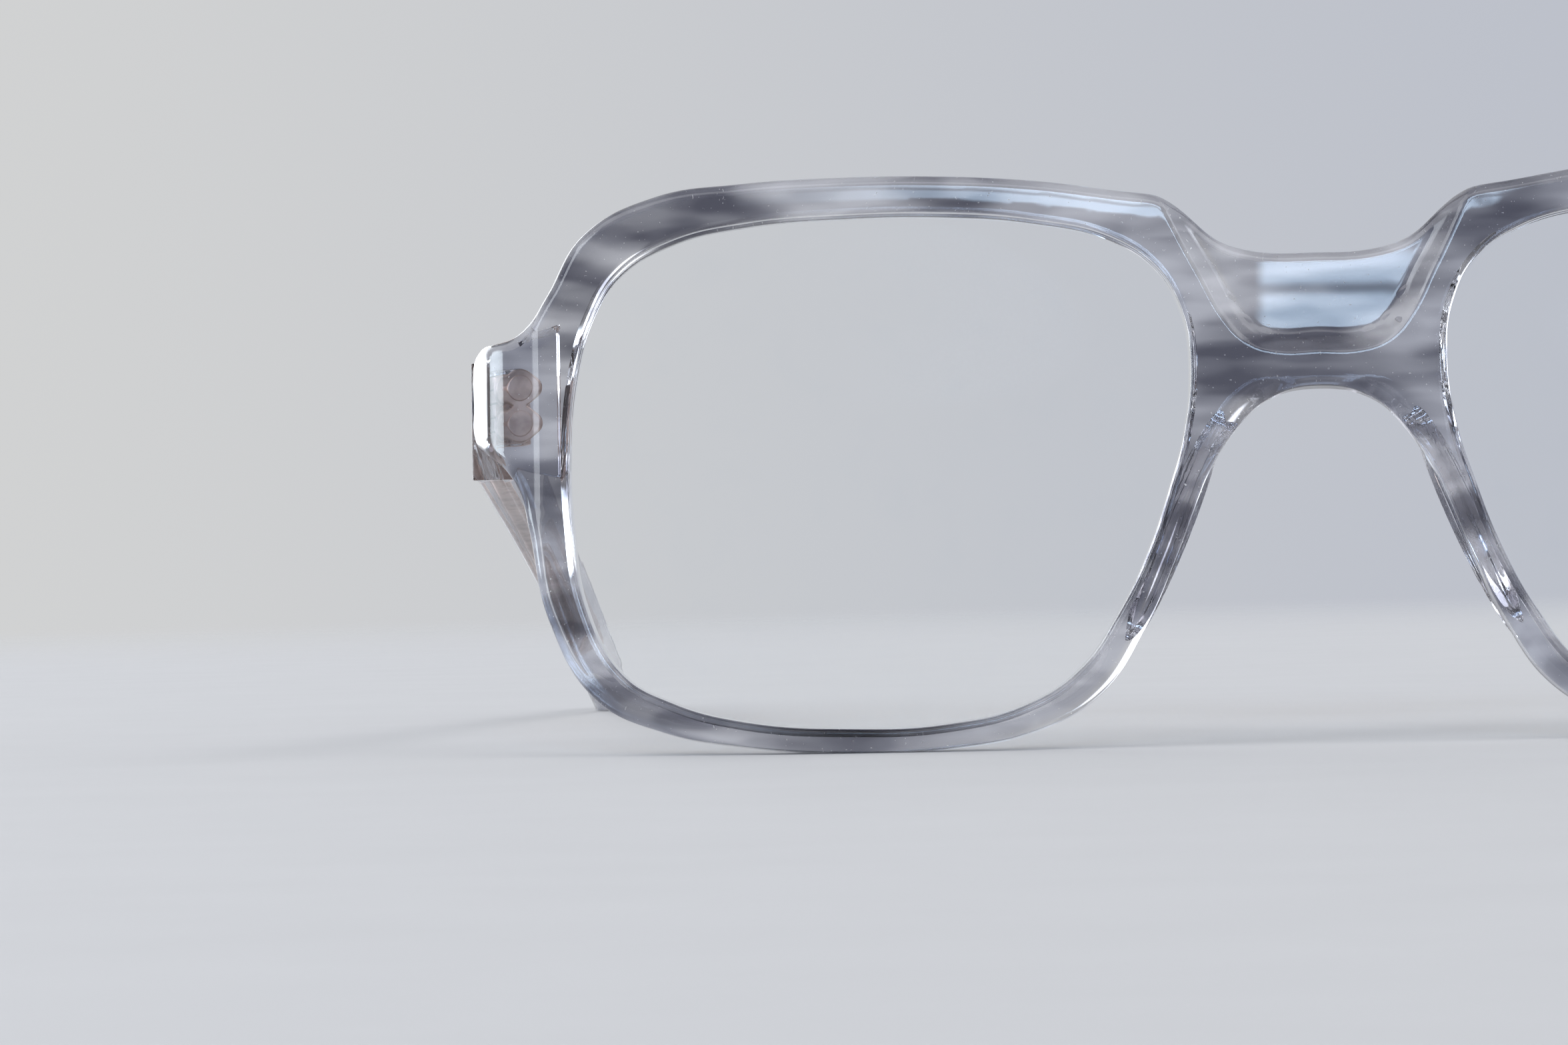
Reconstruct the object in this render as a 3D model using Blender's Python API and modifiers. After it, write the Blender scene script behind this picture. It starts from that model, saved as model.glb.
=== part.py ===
"""Aviator eyeglasses in clear grey acetate, standing on the rims and the temple tips.

Lengths are in metres and +Z is up. The front looks along -Y and the temples run to +Y.
The pieces are laid out with the front upright, x to the right, y back and z up from the
rims' lowest point, and the stance empty then leans the whole back as it stands.
"""

import math

import bmesh
import bpy
from mathutils import Matrix, Vector

# Front
LENS_WIDTH = 0.05292
LENS_HEIGHT = 0.04364
BRIDGE_WIDTH = 0.02136
FRONT_DEPTH = 0.0042
FACE_CURVE = 0.33
RIM_WIDTH = 0.004
BOTTOM_RIM = 0.00195
EDGE_ROUND = 0.0006
SLICE = 0.008
LENS_SLICE = 0.0067

# Lens opening: across and up from its middle in half widths and half heights, with the
# rim's width there in rim widths. Nought leaves that stretch to the bridge or the end.
OPENING_SHARES = (
    (-1.000, 0.385, 0.0),
    (-0.977, 0.583, 0.0),
    (-0.899, 0.753, 0.0),
    (-0.760, 0.872, 1.02),
    (-0.518, 0.950, 0.83),
    (-0.233, 0.989, 0.79),
    (0.108, 1.000, 0.81),
    (0.412, 0.986, 0.86),
    (0.658, 0.930, 1.03),
    (0.830, 0.816, 1.14),
    (0.921, 0.648, 1.09),
    (0.974, 0.432, 0.0),
    (1.000, 0.156, 0.0),
    (0.995, -0.166, 0.94),
    (0.953, -0.496, 0.84),
    (0.834, -0.764, 0.78),
    (0.673, -0.881, 0.64),
    (0.447, -0.961, 0.51),
    (0.108, -1.000, 0.487),
    (-0.213, -0.991, 0.485),
    (-0.456, -0.925, 0.565),
    (-0.624, -0.800, 0.66),
    (-0.755, -0.583, 0.63),
    (-0.852, -0.349, 0.59),
    (-0.925, -0.104, 0.64),
    (-0.976, 0.109, 0.0),
)

# Bridge
BRIDGE_HEIGHT = 0.01153
BRIDGE_DROP = 0.00434  # below the top of the lens openings
NOTCH_DEPTH = 0.0079
BRIDGE_TOP_SHARES = ((0.0, 0.0), (0.469, 0.025), (0.767, 0.140), (0.973, 0.405), (1.179, 0.620))
NOSE_ARCH_SHARES = ((0.881, 0.621), (0.684, 0.335), (0.412, 0.095))
SCOOP_DEPTH = 0.0016
SCOOP_WALL = 0.0014
SCOOP_SLOPE = math.radians(4)
SCOOP_FOOT = 0.0045
SCOOP_SHARES = (
    (0.0, 0.0),
    (0.3, 0.0),
    (0.47, 0.09),
    (0.604, 0.33),
    (0.78, 0.874),
    (0.936, 1.38),
    (1.16, 2.2),
)
SCOOP_HEIGHT = 0.0065

# Ends of the front
END_REACH = 0.0092
END_HEIGHT = 0.008
END_BACK = 0.0156
HINGE_RISE = 0.00713  # above the middle of the lens openings
END_FLARE_SHARES = (
    (0.371, 1.65),
    (0.598, 1.32),
    (0.825, 0.955),
    (0.877, 0.425),
    (0.877, -0.425),
    (0.825, -0.925),
    (0.63, -1.35),
    (0.476, -1.975),
)
LUG_SHARES = (
    (0.53, 1.36),
    (0.74, 1.33),
    (0.90, 1.30),
    (0.972, 1.13),
    (1.0, 0.78),
    (1.0, -0.34),
    (0.949, -0.74),
    (0.764, -1.10),
    (0.53, -1.35),
)
LUG_ROOT = 0.0006
LUG_ROOT_SHARES = (1.70, -1.65)
FACET_START = 0.0046
FACET_END = 0.0074
FACET_DEPTH = 0.0032
FACET_OVERRUN_SHARE = 1.0
SEAT_DEPTH = 0.0022

# Lens and its groove
LENS_THICKNESS = 0.0016
LENS_EDGE = 0.0007
LENS_INSET = 0.0002
LENS_CROWN = 0.0012
CROWN_SPREAD_SHARE = 0.8
GROOVE_SETBACK = 0.0019

# Hinge
BARREL_RADIUS = 0.0014
BARREL_HEIGHT = 0.0011
BARREL_GAP = 0.00012
BARREL_COUNT = 5
BARREL_INBOARD = 0.0018
BARREL_BEHIND = 0.0006
HOLE_RADIUS = 0.00072
SLOT_CLEARANCE = 0.0003
NECK_WIDTH = 0.0014
LOBE_RADIUS = 0.00165
LOBE_SPREAD = 0.0031
LOBE_THICKNESS = 0.00115
LEAF_LENGTH = 0.0085
LEAF_HEIGHT = 0.0066
LEAF_THICKNESS = 0.0008
LEAF_CORNER = 0.0016
LEAF_SETBACK = 0.0006
TEMPLE_NECK_LENGTH = 0.0018
SCREW_RADIUS = 0.0006
HEAD_RADIUS = 0.0011
HEAD_HEIGHT = 0.0006
HEAD_GAP = 0.0001
SCREW_SLOT_WIDTH = 0.0003
SCREW_SLOT_DEPTH = 0.0003

# Temple
TEMPLE_LENGTH = 0.128
TEMPLE_HEIGHT = 0.0104
TEMPLE_THICKNESS = 0.0038
TIP_THICKNESS = 0.003
TEMPLE_ROUND = 0.001
TEMPLE_DROP = 0.0004  # below the hinge's level
TEMPLE_PROUD = 0.0002
SPLAY = math.radians(0.8)
TIP_TURN = 0.0003
TIP_TURN_START_SHARE = 0.6
# Along the temple, how far its middle has dropped, and its height there.
TEMPLE_SHARES = (
    (0.08, 0.080, 0.95),
    (0.25, 0.240, 0.80),
    (0.45, 0.434, 0.69),
    (0.65, 0.639, 0.64),
    (0.80, 0.812, 0.65),
    (0.90, 0.940, 0.67),
    (0.96, 1.000, 0.57),
)
TIP_REST_SHARE = 0.93
TIP_REST_HEIGHT_SHARE = 0.66
CORE_RADIUS = 0.0006
CORE_ACROSS_SHARE = 0.57
CORE_START_SHARE = 0.006
CORE_END_SHARE = 0.78
CORE_POINTS = 18

# Nose pads
PAD_LENGTH = 0.0215
PAD_WIDTH = 0.0028
PAD_RISE = 0.005
PAD_DROP = 0.01152  # below the top of the nose arch
PAD_ACROSS = 0.0123
PAD_TURN = math.radians(23)
PAD_LEAN_SHARE = 0.08

# Stance and fits
LEAN = math.radians(5)
REST_FLAT = 0.00015
FIT_GAP = 0.00025
JOINT_GAP = 0.0003
OVERRUN = 0.002
WELD_SHARE = 0.01
SMOOTH_ANGLE = math.radians(35)
FLAT_ANGLE = math.radians(0.1)

HALF_BRIDGE = BRIDGE_WIDTH / 2
LENS_MIDDLE = HALF_BRIDGE + LENS_WIDTH / 2
LENS_LEVEL = BOTTOM_RIM + LENS_HEIGHT / 2
BRIDGE_TOP = BOTTOM_RIM + LENS_HEIGHT - BRIDGE_DROP
HINGE_LEVEL = LENS_LEVEL + HINGE_RISE
TEMPLE_LEVEL = HINGE_LEVEL - TEMPLE_DROP
PAD_LEVEL = BRIDGE_TOP - BRIDGE_HEIGHT - PAD_DROP
LENS_EDGE_ACROSS = HALF_BRIDGE + LENS_WIDTH
END_ACROSS = LENS_EDGE_ACROSS + END_REACH
SEAT_BACK = END_BACK - SEAT_DEPTH
BUTT = END_BACK + JOINT_GAP
TEMPLE_INNER = END_ACROSS + TEMPLE_PROUD - TEMPLE_THICKNESS
AXIS_ACROSS = TEMPLE_INNER - BARREL_INBOARD
AXIS_BACK = END_BACK + BARREL_BEHIND
BARREL_PITCH = BARREL_HEIGHT + BARREL_GAP
HINGE_HEIGHT = BARREL_COUNT * BARREL_PITCH - BARREL_GAP
HINGE_LOW = HINGE_LEVEL - HINGE_HEIGHT / 2
HINGE_HIGH = HINGE_LEVEL + HINGE_HEIGHT / 2
SIDES = {"left": -1, "right": 1}


def clear_scene():
    for obj in list(bpy.data.objects):
        bpy.data.objects.remove(obj, do_unlink=True)


def new_collection(name):
    collection = bpy.data.collections.new(name)
    bpy.context.scene.collection.children.link(collection)
    return collection


def new_material(name, color, roughness, metallic=0.0, transmission=0.0):
    material = bpy.data.materials.new(name)
    material.use_nodes = True
    shader = material.node_tree.nodes["Principled BSDF"]
    shader.inputs["Base Color"].default_value = (*color, 1)
    shader.inputs["Roughness"].default_value = roughness
    shader.inputs["Metallic"].default_value = metallic
    shader.inputs["Transmission Weight"].default_value = transmission
    material.diffuse_color = (*color, 1)
    return material


def add_mesh(name, mesh, collection, material=None):
    obj = bpy.data.objects.new(name, mesh)
    collection.objects.link(obj)
    if material:
        mesh.materials.append(material)
        mesh.shade_smooth()
        mesh.set_sharp_from_angle(angle=SMOOTH_ANGLE)
    else:
        obj.hide_render = True
        obj.display_type = "WIRE"
    return obj


def edit(mesh, change):
    """Runs change on the mesh's bmesh and leaves its faces looking outward."""
    bm = bmesh.new()
    bm.from_mesh(mesh)
    change(bm)
    bmesh.ops.recalc_face_normals(bm, faces=bm.faces)
    bm.to_mesh(mesh)
    bm.free()


def mesh_from_curve(curve):
    """The evaluated curve as a mesh with its caps welded; the curve is removed."""
    holder = bpy.data.objects.new(curve.name, curve)
    bpy.context.scene.collection.objects.link(holder)
    graph = bpy.context.evaluated_depsgraph_get()
    mesh = bpy.data.meshes.new_from_object(holder.evaluated_get(graph))
    bpy.data.objects.remove(holder, do_unlink=True)
    bpy.data.curves.remove(curve)
    mesh.materials.clear()
    weld = EDGE_ROUND * WELD_SHARE
    edit(mesh, lambda bm: bmesh.ops.remove_doubles(bm, verts=bm.verts, dist=weld))
    return mesh


def merge_flats(bm):
    bmesh.ops.dissolve_limit(bm, angle_limit=FLAT_ANGLE, verts=bm.verts, edges=bm.edges)


def outline_mesh(name, loops, depth, rounding=0.0, offset=0.0, steps=2, arcs=1, sharp=()):
    """A filled flat outline, drawn across and up, that is as deep as asked about y = 0."""
    curve = bpy.data.curves.new(name, "CURVE")
    curve.dimensions = "2D"
    curve.fill_mode = "BOTH"
    curve.resolution_u = steps
    curve.extrude = depth / 2 - rounding
    curve.bevel_depth = rounding
    curve.bevel_resolution = arcs
    curve.offset = offset - rounding
    for points in loops:
        spline = curve.splines.new("BEZIER")
        spline.bezier_points.add(len(points) - 1)
        for index, (knot, point) in enumerate(zip(spline.bezier_points, points)):
            knot.co = (point[0], point[1], 0)
            kind = "VECTOR" if index in sharp else "AUTO"
            knot.handle_left_type = kind
            knot.handle_right_type = kind
        spline.use_cyclic_u = True
    mesh = mesh_from_curve(curve)
    edit(mesh, merge_flats)
    mesh.transform(Matrix.Rotation(math.pi / 2, 4, "X"))
    return mesh


def slice_along(mesh, axis, step):
    """Cuts edges across the mesh every step along the axis, so that it can bend."""

    def cut(bm):
        places = [vert.co.dot(axis) for vert in bm.verts]
        place = math.ceil(min(places) / step) * step
        while place < max(places):
            geometry = bm.verts[:] + bm.edges[:] + bm.faces[:]
            bmesh.ops.bisect_plane(bm, geom=geometry, plane_co=axis * place, plane_no=axis)
            place += step

    edit(mesh, cut)


def cut_away(mesh, point, normal):
    """Removes what lies beyond the plane and closes the cut with a flat face."""

    def cut(bm):
        geometry = bm.verts[:] + bm.edges[:] + bm.faces[:]
        found = bmesh.ops.bisect_plane(
            bm, geom=geometry, plane_co=point, plane_no=normal, clear_outer=True
        )
        edges = [item for item in found["geom_cut"] if isinstance(item, bmesh.types.BMEdge)]
        bmesh.ops.edgenet_fill(bm, edges=edges)

    edit(mesh, cut)


def cut_flat(mesh):
    """Cuts the flats that the leaning frame stands on."""
    surface = Vector((0, 0, -stance_rise() / math.cos(LEAN)))
    cut_away(mesh, surface, Vector((0, math.sin(LEAN), -math.cos(LEAN))))


def face_curve(across):
    """How far back the front lies, at this distance from its middle."""
    return FACE_CURVE - math.sqrt(FACE_CURVE**2 - across**2)


def wrap(mesh, back, step=SLICE):
    """Bends a flat piece to the face's curve and sets it back."""
    slice_along(mesh, Vector((1, 0, 0)), step)
    for vert in mesh.vertices:
        vert.co.y += back + face_curve(vert.co.x)


def box(name, low, high, collection, material=None):
    mesh = bpy.data.meshes.new(name)
    low = Vector(low)
    high = Vector(high)

    def fill(bm):
        bmesh.ops.create_cube(bm, size=1)
        bmesh.ops.scale(bm, vec=high - low, verts=bm.verts)
        bmesh.ops.translate(bm, vec=(low + high) / 2, verts=bm.verts)

    edit(mesh, fill)
    return add_mesh(name, mesh, collection, material)


def cylinder(name, radius, start, end, sides, collection, material=None):
    mesh = bpy.data.meshes.new(name)
    start = Vector(start)
    end = Vector(end)
    turn = Vector((0, 0, 1)).rotation_difference(end - start).to_matrix().to_4x4()

    def fill(bm):
        bmesh.ops.create_cone(
            bm,
            cap_ends=True,
            segments=sides,
            radius1=radius,
            radius2=radius,
            depth=(end - start).length,
            matrix=Matrix.Translation((start + end) / 2) @ turn,
        )

    edit(mesh, fill)
    return add_mesh(name, mesh, collection, material)


def combine(target, other, operation, cutters):
    """A Boolean that stays on the target. A piece joined to it becomes a hidden helper."""
    modifier = target.modifiers.new(other.name, "BOOLEAN")
    modifier.operation = operation
    modifier.solver = "EXACT"
    modifier.object = other
    if other.name not in cutters.objects:
        for holder in list(other.users_collection):
            holder.objects.unlink(other)
        cutters.objects.link(other)
    other.hide_render = True
    other.display_type = "WIRE"


def opening_points(side):
    points = []
    for across, up, _ in OPENING_SHARES:
        x = LENS_MIDDLE + across * LENS_WIDTH / 2
        z = LENS_LEVEL + up * LENS_HEIGHT / 2
        points.append((side * x, z))
    return points


def rim_points():
    """Points round the right rim, by their place in the opening's list."""
    inner = [Vector(point) for point in opening_points(1)]
    found = {}
    for index, (_, _, width) in enumerate(OPENING_SHARES):
        if width:
            along = inner[(index + 1) % len(inner)] - inner[index - 1]
            outward = Vector((-along.y, along.x)).normalized()
            found[index] = inner[index] + outward * width * RIM_WIDTH
    return found


def front_outline():
    """The front's outer outline, from the middle of the bridge's top all the way round."""
    rim = rim_points()
    half = []
    for across, up in BRIDGE_TOP_SHARES:
        half.append((across * HALF_BRIDGE, BRIDGE_TOP + up * NOTCH_DEPTH))
    half += [tuple(rim[index]) for index in sorted(rim) if OPENING_SHARES[index][1] > 0]
    for across, up in END_FLARE_SHARES:
        half.append((LENS_EDGE_ACROSS + across * END_REACH, HINGE_LEVEL + up * END_HEIGHT / 2))
    half += [tuple(rim[index]) for index in sorted(rim) if OPENING_SHARES[index][1] < 0]
    arch_top = BRIDGE_TOP - BRIDGE_HEIGHT
    for across, down in NOSE_ARCH_SHARES:
        half.append((across * HALF_BRIDGE, arch_top - down * BRIDGE_HEIGHT))
    half.append((0.0, arch_top))
    mirrored = [(-x, z) for x, z in reversed(half[1:-1])]
    return half + mirrored


def scoop_cutter(cutters):
    """A U-shaped block with sloping walls that hollows the bridge's face, open at its top."""
    right = []
    for across, up in SCOOP_SHARES:
        right.append((across * HALF_BRIDGE, up * SCOOP_HEIGHT))
    points = right + [(-x, z) for x, z in reversed(right[1:])]
    depth = 2 * (SCOOP_DEPTH + SCOOP_WALL)
    mesh = outline_mesh(
        "scoop_cutter", [points], depth, rounding=SCOOP_WALL, offset=SCOOP_WALL, steps=4, arcs=0
    )
    mesh.transform(Matrix.Translation((0, -SCOOP_WALL, 0)))
    mesh.transform(Matrix.Rotation(-SCOOP_SLOPE, 4, "X"))
    mesh.transform(Matrix.Translation((0, 0, BRIDGE_TOP - BRIDGE_HEIGHT + SCOOP_FOOT)))
    wrap(mesh, 0.0)
    return add_mesh("scoop_cutter", mesh, cutters)


def groove_cutter(cutters):
    """Both lenses' shapes with the fit gap all round, which leave V grooves for them."""
    mesh = bpy.data.meshes.new("grooves")
    shapes = [lens_shape("groove", side_name, FIT_GAP) for side_name in SIDES]

    def join(bm):
        for shape in shapes:
            bm.from_mesh(shape)

    edit(mesh, join)
    return add_mesh("groove_cutter", mesh, cutters)


def lens_shape(name, side_name, margin):
    """A flat lens with a pointed edge, wrapped like the front and larger by the margin."""
    edge = LENS_EDGE + margin
    thickness = LENS_THICKNESS + 2 * margin
    points = opening_points(SIDES[side_name])
    mesh = outline_mesh(
        name, [points], thickness, rounding=edge, offset=edge - LENS_INSET, arcs=0
    )
    wrap(mesh, GROOVE_SETBACK, LENS_SLICE)
    return mesh


def facet_cutter(side_name, cutters):
    """Slopes the end's outer corner: a facet off the face, then the end's side."""
    start = Vector((LENS_EDGE_ACROSS + FACET_START, 0))
    start.y = face_curve(start.x)
    turn = Vector((LENS_EDGE_ACROSS + FACET_END, start.y + FACET_DEPTH))
    back = Vector((END_ACROSS, END_BACK))
    ahead = start + (start - turn) * FACET_OVERRUN_SHARE
    beyond = back + (back - turn).normalized() * OVERRUN
    outside = END_ACROSS + END_REACH
    corners = [ahead, turn, beyond, Vector((outside, beyond.y)), Vector((outside, ahead.y))]
    height = 2 * (END_HEIGHT + OVERRUN)
    mesh = outline_mesh(
        "facet", [[tuple(corner) for corner in corners]], height, steps=1, sharp=range(5)
    )
    mesh.transform(Matrix.Rotation(-math.pi / 2, 4, "X"))
    mesh.transform(Matrix.Translation((0, 0, HINGE_LEVEL)))
    mirror_to(side_name, mesh)
    return add_mesh(f"facet_cutter_{side_name}", mesh, cutters)


def mirror_to(side_name, mesh):
    """Moves a piece built at the right to its side."""
    if SIDES[side_name] < 0:
        mesh.transform(Matrix.Diagonal((-1, 1, 1, 1)))
        mesh.flip_normals()


def lug(side_name, cutters):
    """The thick block behind the front's end, which the temple closes on."""
    root = LENS_EDGE_ACROSS + LUG_ROOT
    points = []
    for across, up in LUG_SHARES:
        points.append((LENS_EDGE_ACROSS + across * END_REACH, HINGE_LEVEL + up * END_HEIGHT / 2))
    high, low = LUG_ROOT_SHARES
    points.append((root, HINGE_LEVEL + low * END_HEIGHT / 2))
    points.append((root, HINGE_LEVEL + high * END_HEIGHT / 2))
    start = face_curve(LENS_EDGE_ACROSS) + FRONT_DEPTH / 2
    depth = END_BACK - start
    last = len(points) - 1
    mesh = outline_mesh("lug", [points], depth, steps=2, sharp=(last - 1, last))
    mesh.transform(Matrix.Translation((0, start + depth / 2, 0)))
    mirror_to(side_name, mesh)
    return add_mesh(f"lug_{side_name}", mesh, cutters)


def seat_cutter(side_name, cutters):
    """Sinks the lug's back behind the hinge, so that the leaf has room to turn."""
    reach = END_HEIGHT + OVERRUN
    low = (LENS_EDGE_ACROSS - OVERRUN, SEAT_BACK, HINGE_LEVEL - reach)
    high = (TEMPLE_INNER + FIT_GAP, END_BACK + OVERRUN, HINGE_LEVEL + reach)
    cutter = box(f"seat_cutter_{side_name}", low, high, cutters)
    mirror_to(side_name, cutter.data)
    return cutter


def lobes(prefix, margin, back, side_name, cutters):
    """The front leaf's two round anchors, or with a margin the pockets that they lie in."""
    pieces = []
    front = SEAT_BACK - LOBE_THICKNESS - margin
    for index, level in enumerate((HINGE_LEVEL - LOBE_SPREAD / 2, HINGE_LEVEL + LOBE_SPREAD / 2)):
        start = (AXIS_ACROSS, front, level)
        end = (AXIS_ACROSS, back, level)
        name = f"{prefix}_{side_name}_{index}"
        piece = cylinder(name, LOBE_RADIUS + margin, start, end, 20, cutters)
        mirror_to(side_name, piece.data)
        pieces.append(piece)
    return pieces


def make_front(collection, cutters, material):
    loops = [front_outline(), opening_points(1), opening_points(-1)]
    mesh = outline_mesh("front", loops, FRONT_DEPTH, rounding=EDGE_ROUND)
    wrap(mesh, FRONT_DEPTH / 2)
    cut_flat(mesh)
    front = add_mesh("front", mesh, collection, material)
    combine(front, scoop_cutter(cutters), "DIFFERENCE", cutters)
    for side_name in SIDES:
        combine(front, lug(side_name, cutters), "UNION", cutters)
        combine(front, facet_cutter(side_name, cutters), "DIFFERENCE", cutters)
        combine(front, seat_cutter(side_name, cutters), "DIFFERENCE", cutters)
        for pocket in lobes("lobe_pocket", FIT_GAP, SEAT_BACK + OVERRUN, side_name, cutters):
            combine(front, pocket, "DIFFERENCE", cutters)
    combine(front, groove_cutter(cutters), "DIFFERENCE", cutters)
    return front


def make_lens(side_name, collection, material):
    name = f"lens_{side_name}"
    mesh = lens_shape(name, side_name, 0.0)
    slice_along(mesh, Vector((0, 0, 1)), LENS_SLICE)
    middle = SIDES[side_name] * LENS_MIDDLE
    for vert in mesh.vertices:
        across = (vert.co.x - middle) / (LENS_WIDTH / 2)
        up = (vert.co.z - LENS_LEVEL) / (LENS_HEIGHT / 2)
        crown = max(0.0, 1 - (across**2 + up**2) / CROWN_SPREAD_SHARE)
        vert.co.y -= LENS_CROWN * crown
    return add_mesh(name, mesh, collection, material)


def barrel_levels(first):
    """The middles of every other barrel, counted up from the lowest."""
    lowest = HINGE_LOW + BARREL_HEIGHT / 2
    return [lowest + index * BARREL_PITCH for index in range(first, BARREL_COUNT, 2)]


def barrel_piece(name, radius, low, high, side_name, collection, material=None):
    """An upright cylinder on the hinge's axis."""
    start = (AXIS_ACROSS, AXIS_BACK, low)
    end = (AXIS_ACROSS, AXIS_BACK, high)
    piece = cylinder(name, radius, start, end, 20, collection, material)
    mirror_to(side_name, piece.data)
    return piece


def clear_barrels(leaf, prefix, side_name, first, cutters):
    """Opens the leaf where the other leaf's barrels turn, and bores it for the screw."""
    reach = BARREL_HEIGHT / 2 + BARREL_GAP
    for index, level in enumerate(barrel_levels(first)):
        slot = barrel_piece(
            f"{prefix}_slot_{side_name}_{index}",
            BARREL_RADIUS + SLOT_CLEARANCE,
            level - reach,
            level + reach,
            side_name,
            cutters,
        )
        combine(leaf, slot, "DIFFERENCE", cutters)
    hole = barrel_piece(
        f"{prefix}_hole_{side_name}",
        HOLE_RADIUS,
        HINGE_LOW - OVERRUN,
        HINGE_HIGH + OVERRUN,
        side_name,
        cutters,
    )
    combine(leaf, hole, "DIFFERENCE", cutters)


def make_front_leaf(side_name, collection, cutters, material):
    name = f"front_hinge_leaf_{side_name}"
    leaf = barrel_piece(name, BARREL_RADIUS, HINGE_LOW, HINGE_HIGH, side_name, collection, material)
    neck_low = (AXIS_ACROSS - NECK_WIDTH / 2, SEAT_BACK - LOBE_THICKNESS / 2, HINGE_LOW)
    neck_high = (AXIS_ACROSS + NECK_WIDTH / 2, AXIS_BACK, HINGE_HIGH)
    neck = box(f"front_leaf_neck_{side_name}", neck_low, neck_high, cutters)
    mirror_to(side_name, neck.data)
    combine(leaf, neck, "UNION", cutters)
    for disc in lobes("front_leaf_lobe", 0.0, SEAT_BACK, side_name, cutters):
        combine(leaf, disc, "UNION", cutters)
    clear_barrels(leaf, "front_leaf", side_name, 1, cutters)
    return leaf


def plate_box(name, margin, side_name, cutters):
    """The temple leaf's plate, or with a margin its pocket, sunk in the temple's inner face."""
    start = BUTT + LEAF_SETBACK
    low = (TEMPLE_INNER - margin, start - margin, HINGE_LEVEL - LEAF_HEIGHT / 2 - margin)
    high = (
        TEMPLE_INNER + LEAF_THICKNESS + margin,
        start + LEAF_LENGTH + margin,
        HINGE_LEVEL + LEAF_HEIGHT / 2 + margin,
    )
    piece = box(name, low, high, cutters)
    corner = LEAF_CORNER + margin

    def round_corners(bm):
        across = [edge for edge in bm.edges if abs((edge.verts[0].co - edge.verts[1].co).x) > margin]
        edges = [edge for edge in across if min(vert.co.y for vert in edge.verts) > start + corner]
        bmesh.ops.bevel(bm, geom=edges, offset=corner, segments=4, profile=0.5, affect="EDGES")

    edit(piece.data, round_corners)
    mirror_to(side_name, piece.data)
    return piece


def make_temple_leaf(side_name, collection, cutters, material):
    name = f"temple_hinge_leaf_{side_name}"
    leaf = barrel_piece(name, BARREL_RADIUS, HINGE_LOW, HINGE_HIGH, side_name, collection, material)
    neck_low = (AXIS_ACROSS, AXIS_BACK + FIT_GAP, HINGE_LOW)
    neck_back = BUTT + LEAF_SETBACK + TEMPLE_NECK_LENGTH
    neck_high = (TEMPLE_INNER + LEAF_THICKNESS / 2, neck_back, HINGE_HIGH)
    neck = box(f"temple_leaf_neck_{side_name}", neck_low, neck_high, cutters)
    mirror_to(side_name, neck.data)
    combine(leaf, neck, "UNION", cutters)
    plate = plate_box(f"temple_leaf_plate_{side_name}", 0.0, side_name, cutters)
    combine(leaf, plate, "UNION", cutters)
    clear_barrels(leaf, "temple_leaf", side_name, 0, cutters)
    return leaf


def make_screw(side_name, collection, cutters, material):
    """A slotted screw, turned about the hinge's axis."""
    top = HINGE_HEIGHT + HEAD_GAP
    profile = (
        (0, top + HEAD_HEIGHT),
        (HEAD_RADIUS, top + HEAD_HEIGHT),
        (HEAD_RADIUS, top),
        (SCREW_RADIUS, top),
        (SCREW_RADIUS, 0),
        (0, 0),
    )
    mesh = bpy.data.meshes.new("screw")
    edges = [(index, index + 1) for index in range(len(profile) - 1)]
    mesh.from_pydata([(x, 0, z) for x, z in profile], edges, [])
    screw = add_mesh(f"hinge_screw_{side_name}", mesh, collection, material)
    screw.location = (SIDES[side_name] * AXIS_ACROSS, AXIS_BACK, HINGE_LOW)
    turned = screw.modifiers.new("turned", "SCREW")
    turned.steps = 16
    turned.render_steps = 16
    turned.use_merge_vertices = True
    turned.merge_threshold = SCREW_RADIUS * WELD_SHARE
    reach = HEAD_RADIUS + OVERRUN
    rise = HINGE_LOW + top + HEAD_HEIGHT
    low = (AXIS_ACROSS - reach, AXIS_BACK - SCREW_SLOT_WIDTH / 2, rise - SCREW_SLOT_DEPTH)
    high = (AXIS_ACROSS + reach, AXIS_BACK + SCREW_SLOT_WIDTH / 2, rise + OVERRUN)
    slot = box(f"screw_slot_{side_name}", low, high, cutters)
    mirror_to(side_name, slot.data)
    combine(screw, slot, "DIFFERENCE", cutters)
    return screw


def stance_rise():
    """How far the leaning front is lifted so that the rims' flats lie at z = 0."""
    lowest_back = face_curve(LENS_MIDDLE) + FRONT_DEPTH - EDGE_ROUND
    lowest = EDGE_ROUND * (math.cos(LEAN) - 1) - lowest_back * math.sin(LEAN)
    return -lowest - REST_FLAT


def temple_drop():
    """How far the temple's middle drops, so that its tip reaches the surface too."""
    back = BUTT + TIP_REST_SHARE * TEMPLE_LENGTH
    half_height = TIP_REST_HEIGHT_SHARE * TEMPLE_HEIGHT / 2
    level = (back * math.sin(LEAN) - stance_rise() - REST_FLAT) / math.cos(LEAN) + half_height
    rest_drop = TEMPLE_LEVEL - level
    return rest_drop / drop_share(TIP_REST_SHARE)


def drop_share(along):
    points = ((0.0, 0.0, 1.0),) + TEMPLE_SHARES + ((1.0, 1.0, 0.5),)
    for before, after in zip(points, points[1:]):
        if along <= after[0]:
            part = (along - before[0]) / (after[0] - before[0])
            return before[1] + part * (after[1] - before[1])
    return 1.0


def temple_inner(along):
    """The inner face's distance from the middle, at this share of the temple's length."""
    turn = max(0.0, (along - TIP_TURN_START_SHARE) / (1 - TIP_TURN_START_SHARE))
    outward = math.tan(SPLAY) * along * TEMPLE_LENGTH
    return TEMPLE_INNER + outward - TIP_TURN * turn**2


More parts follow.
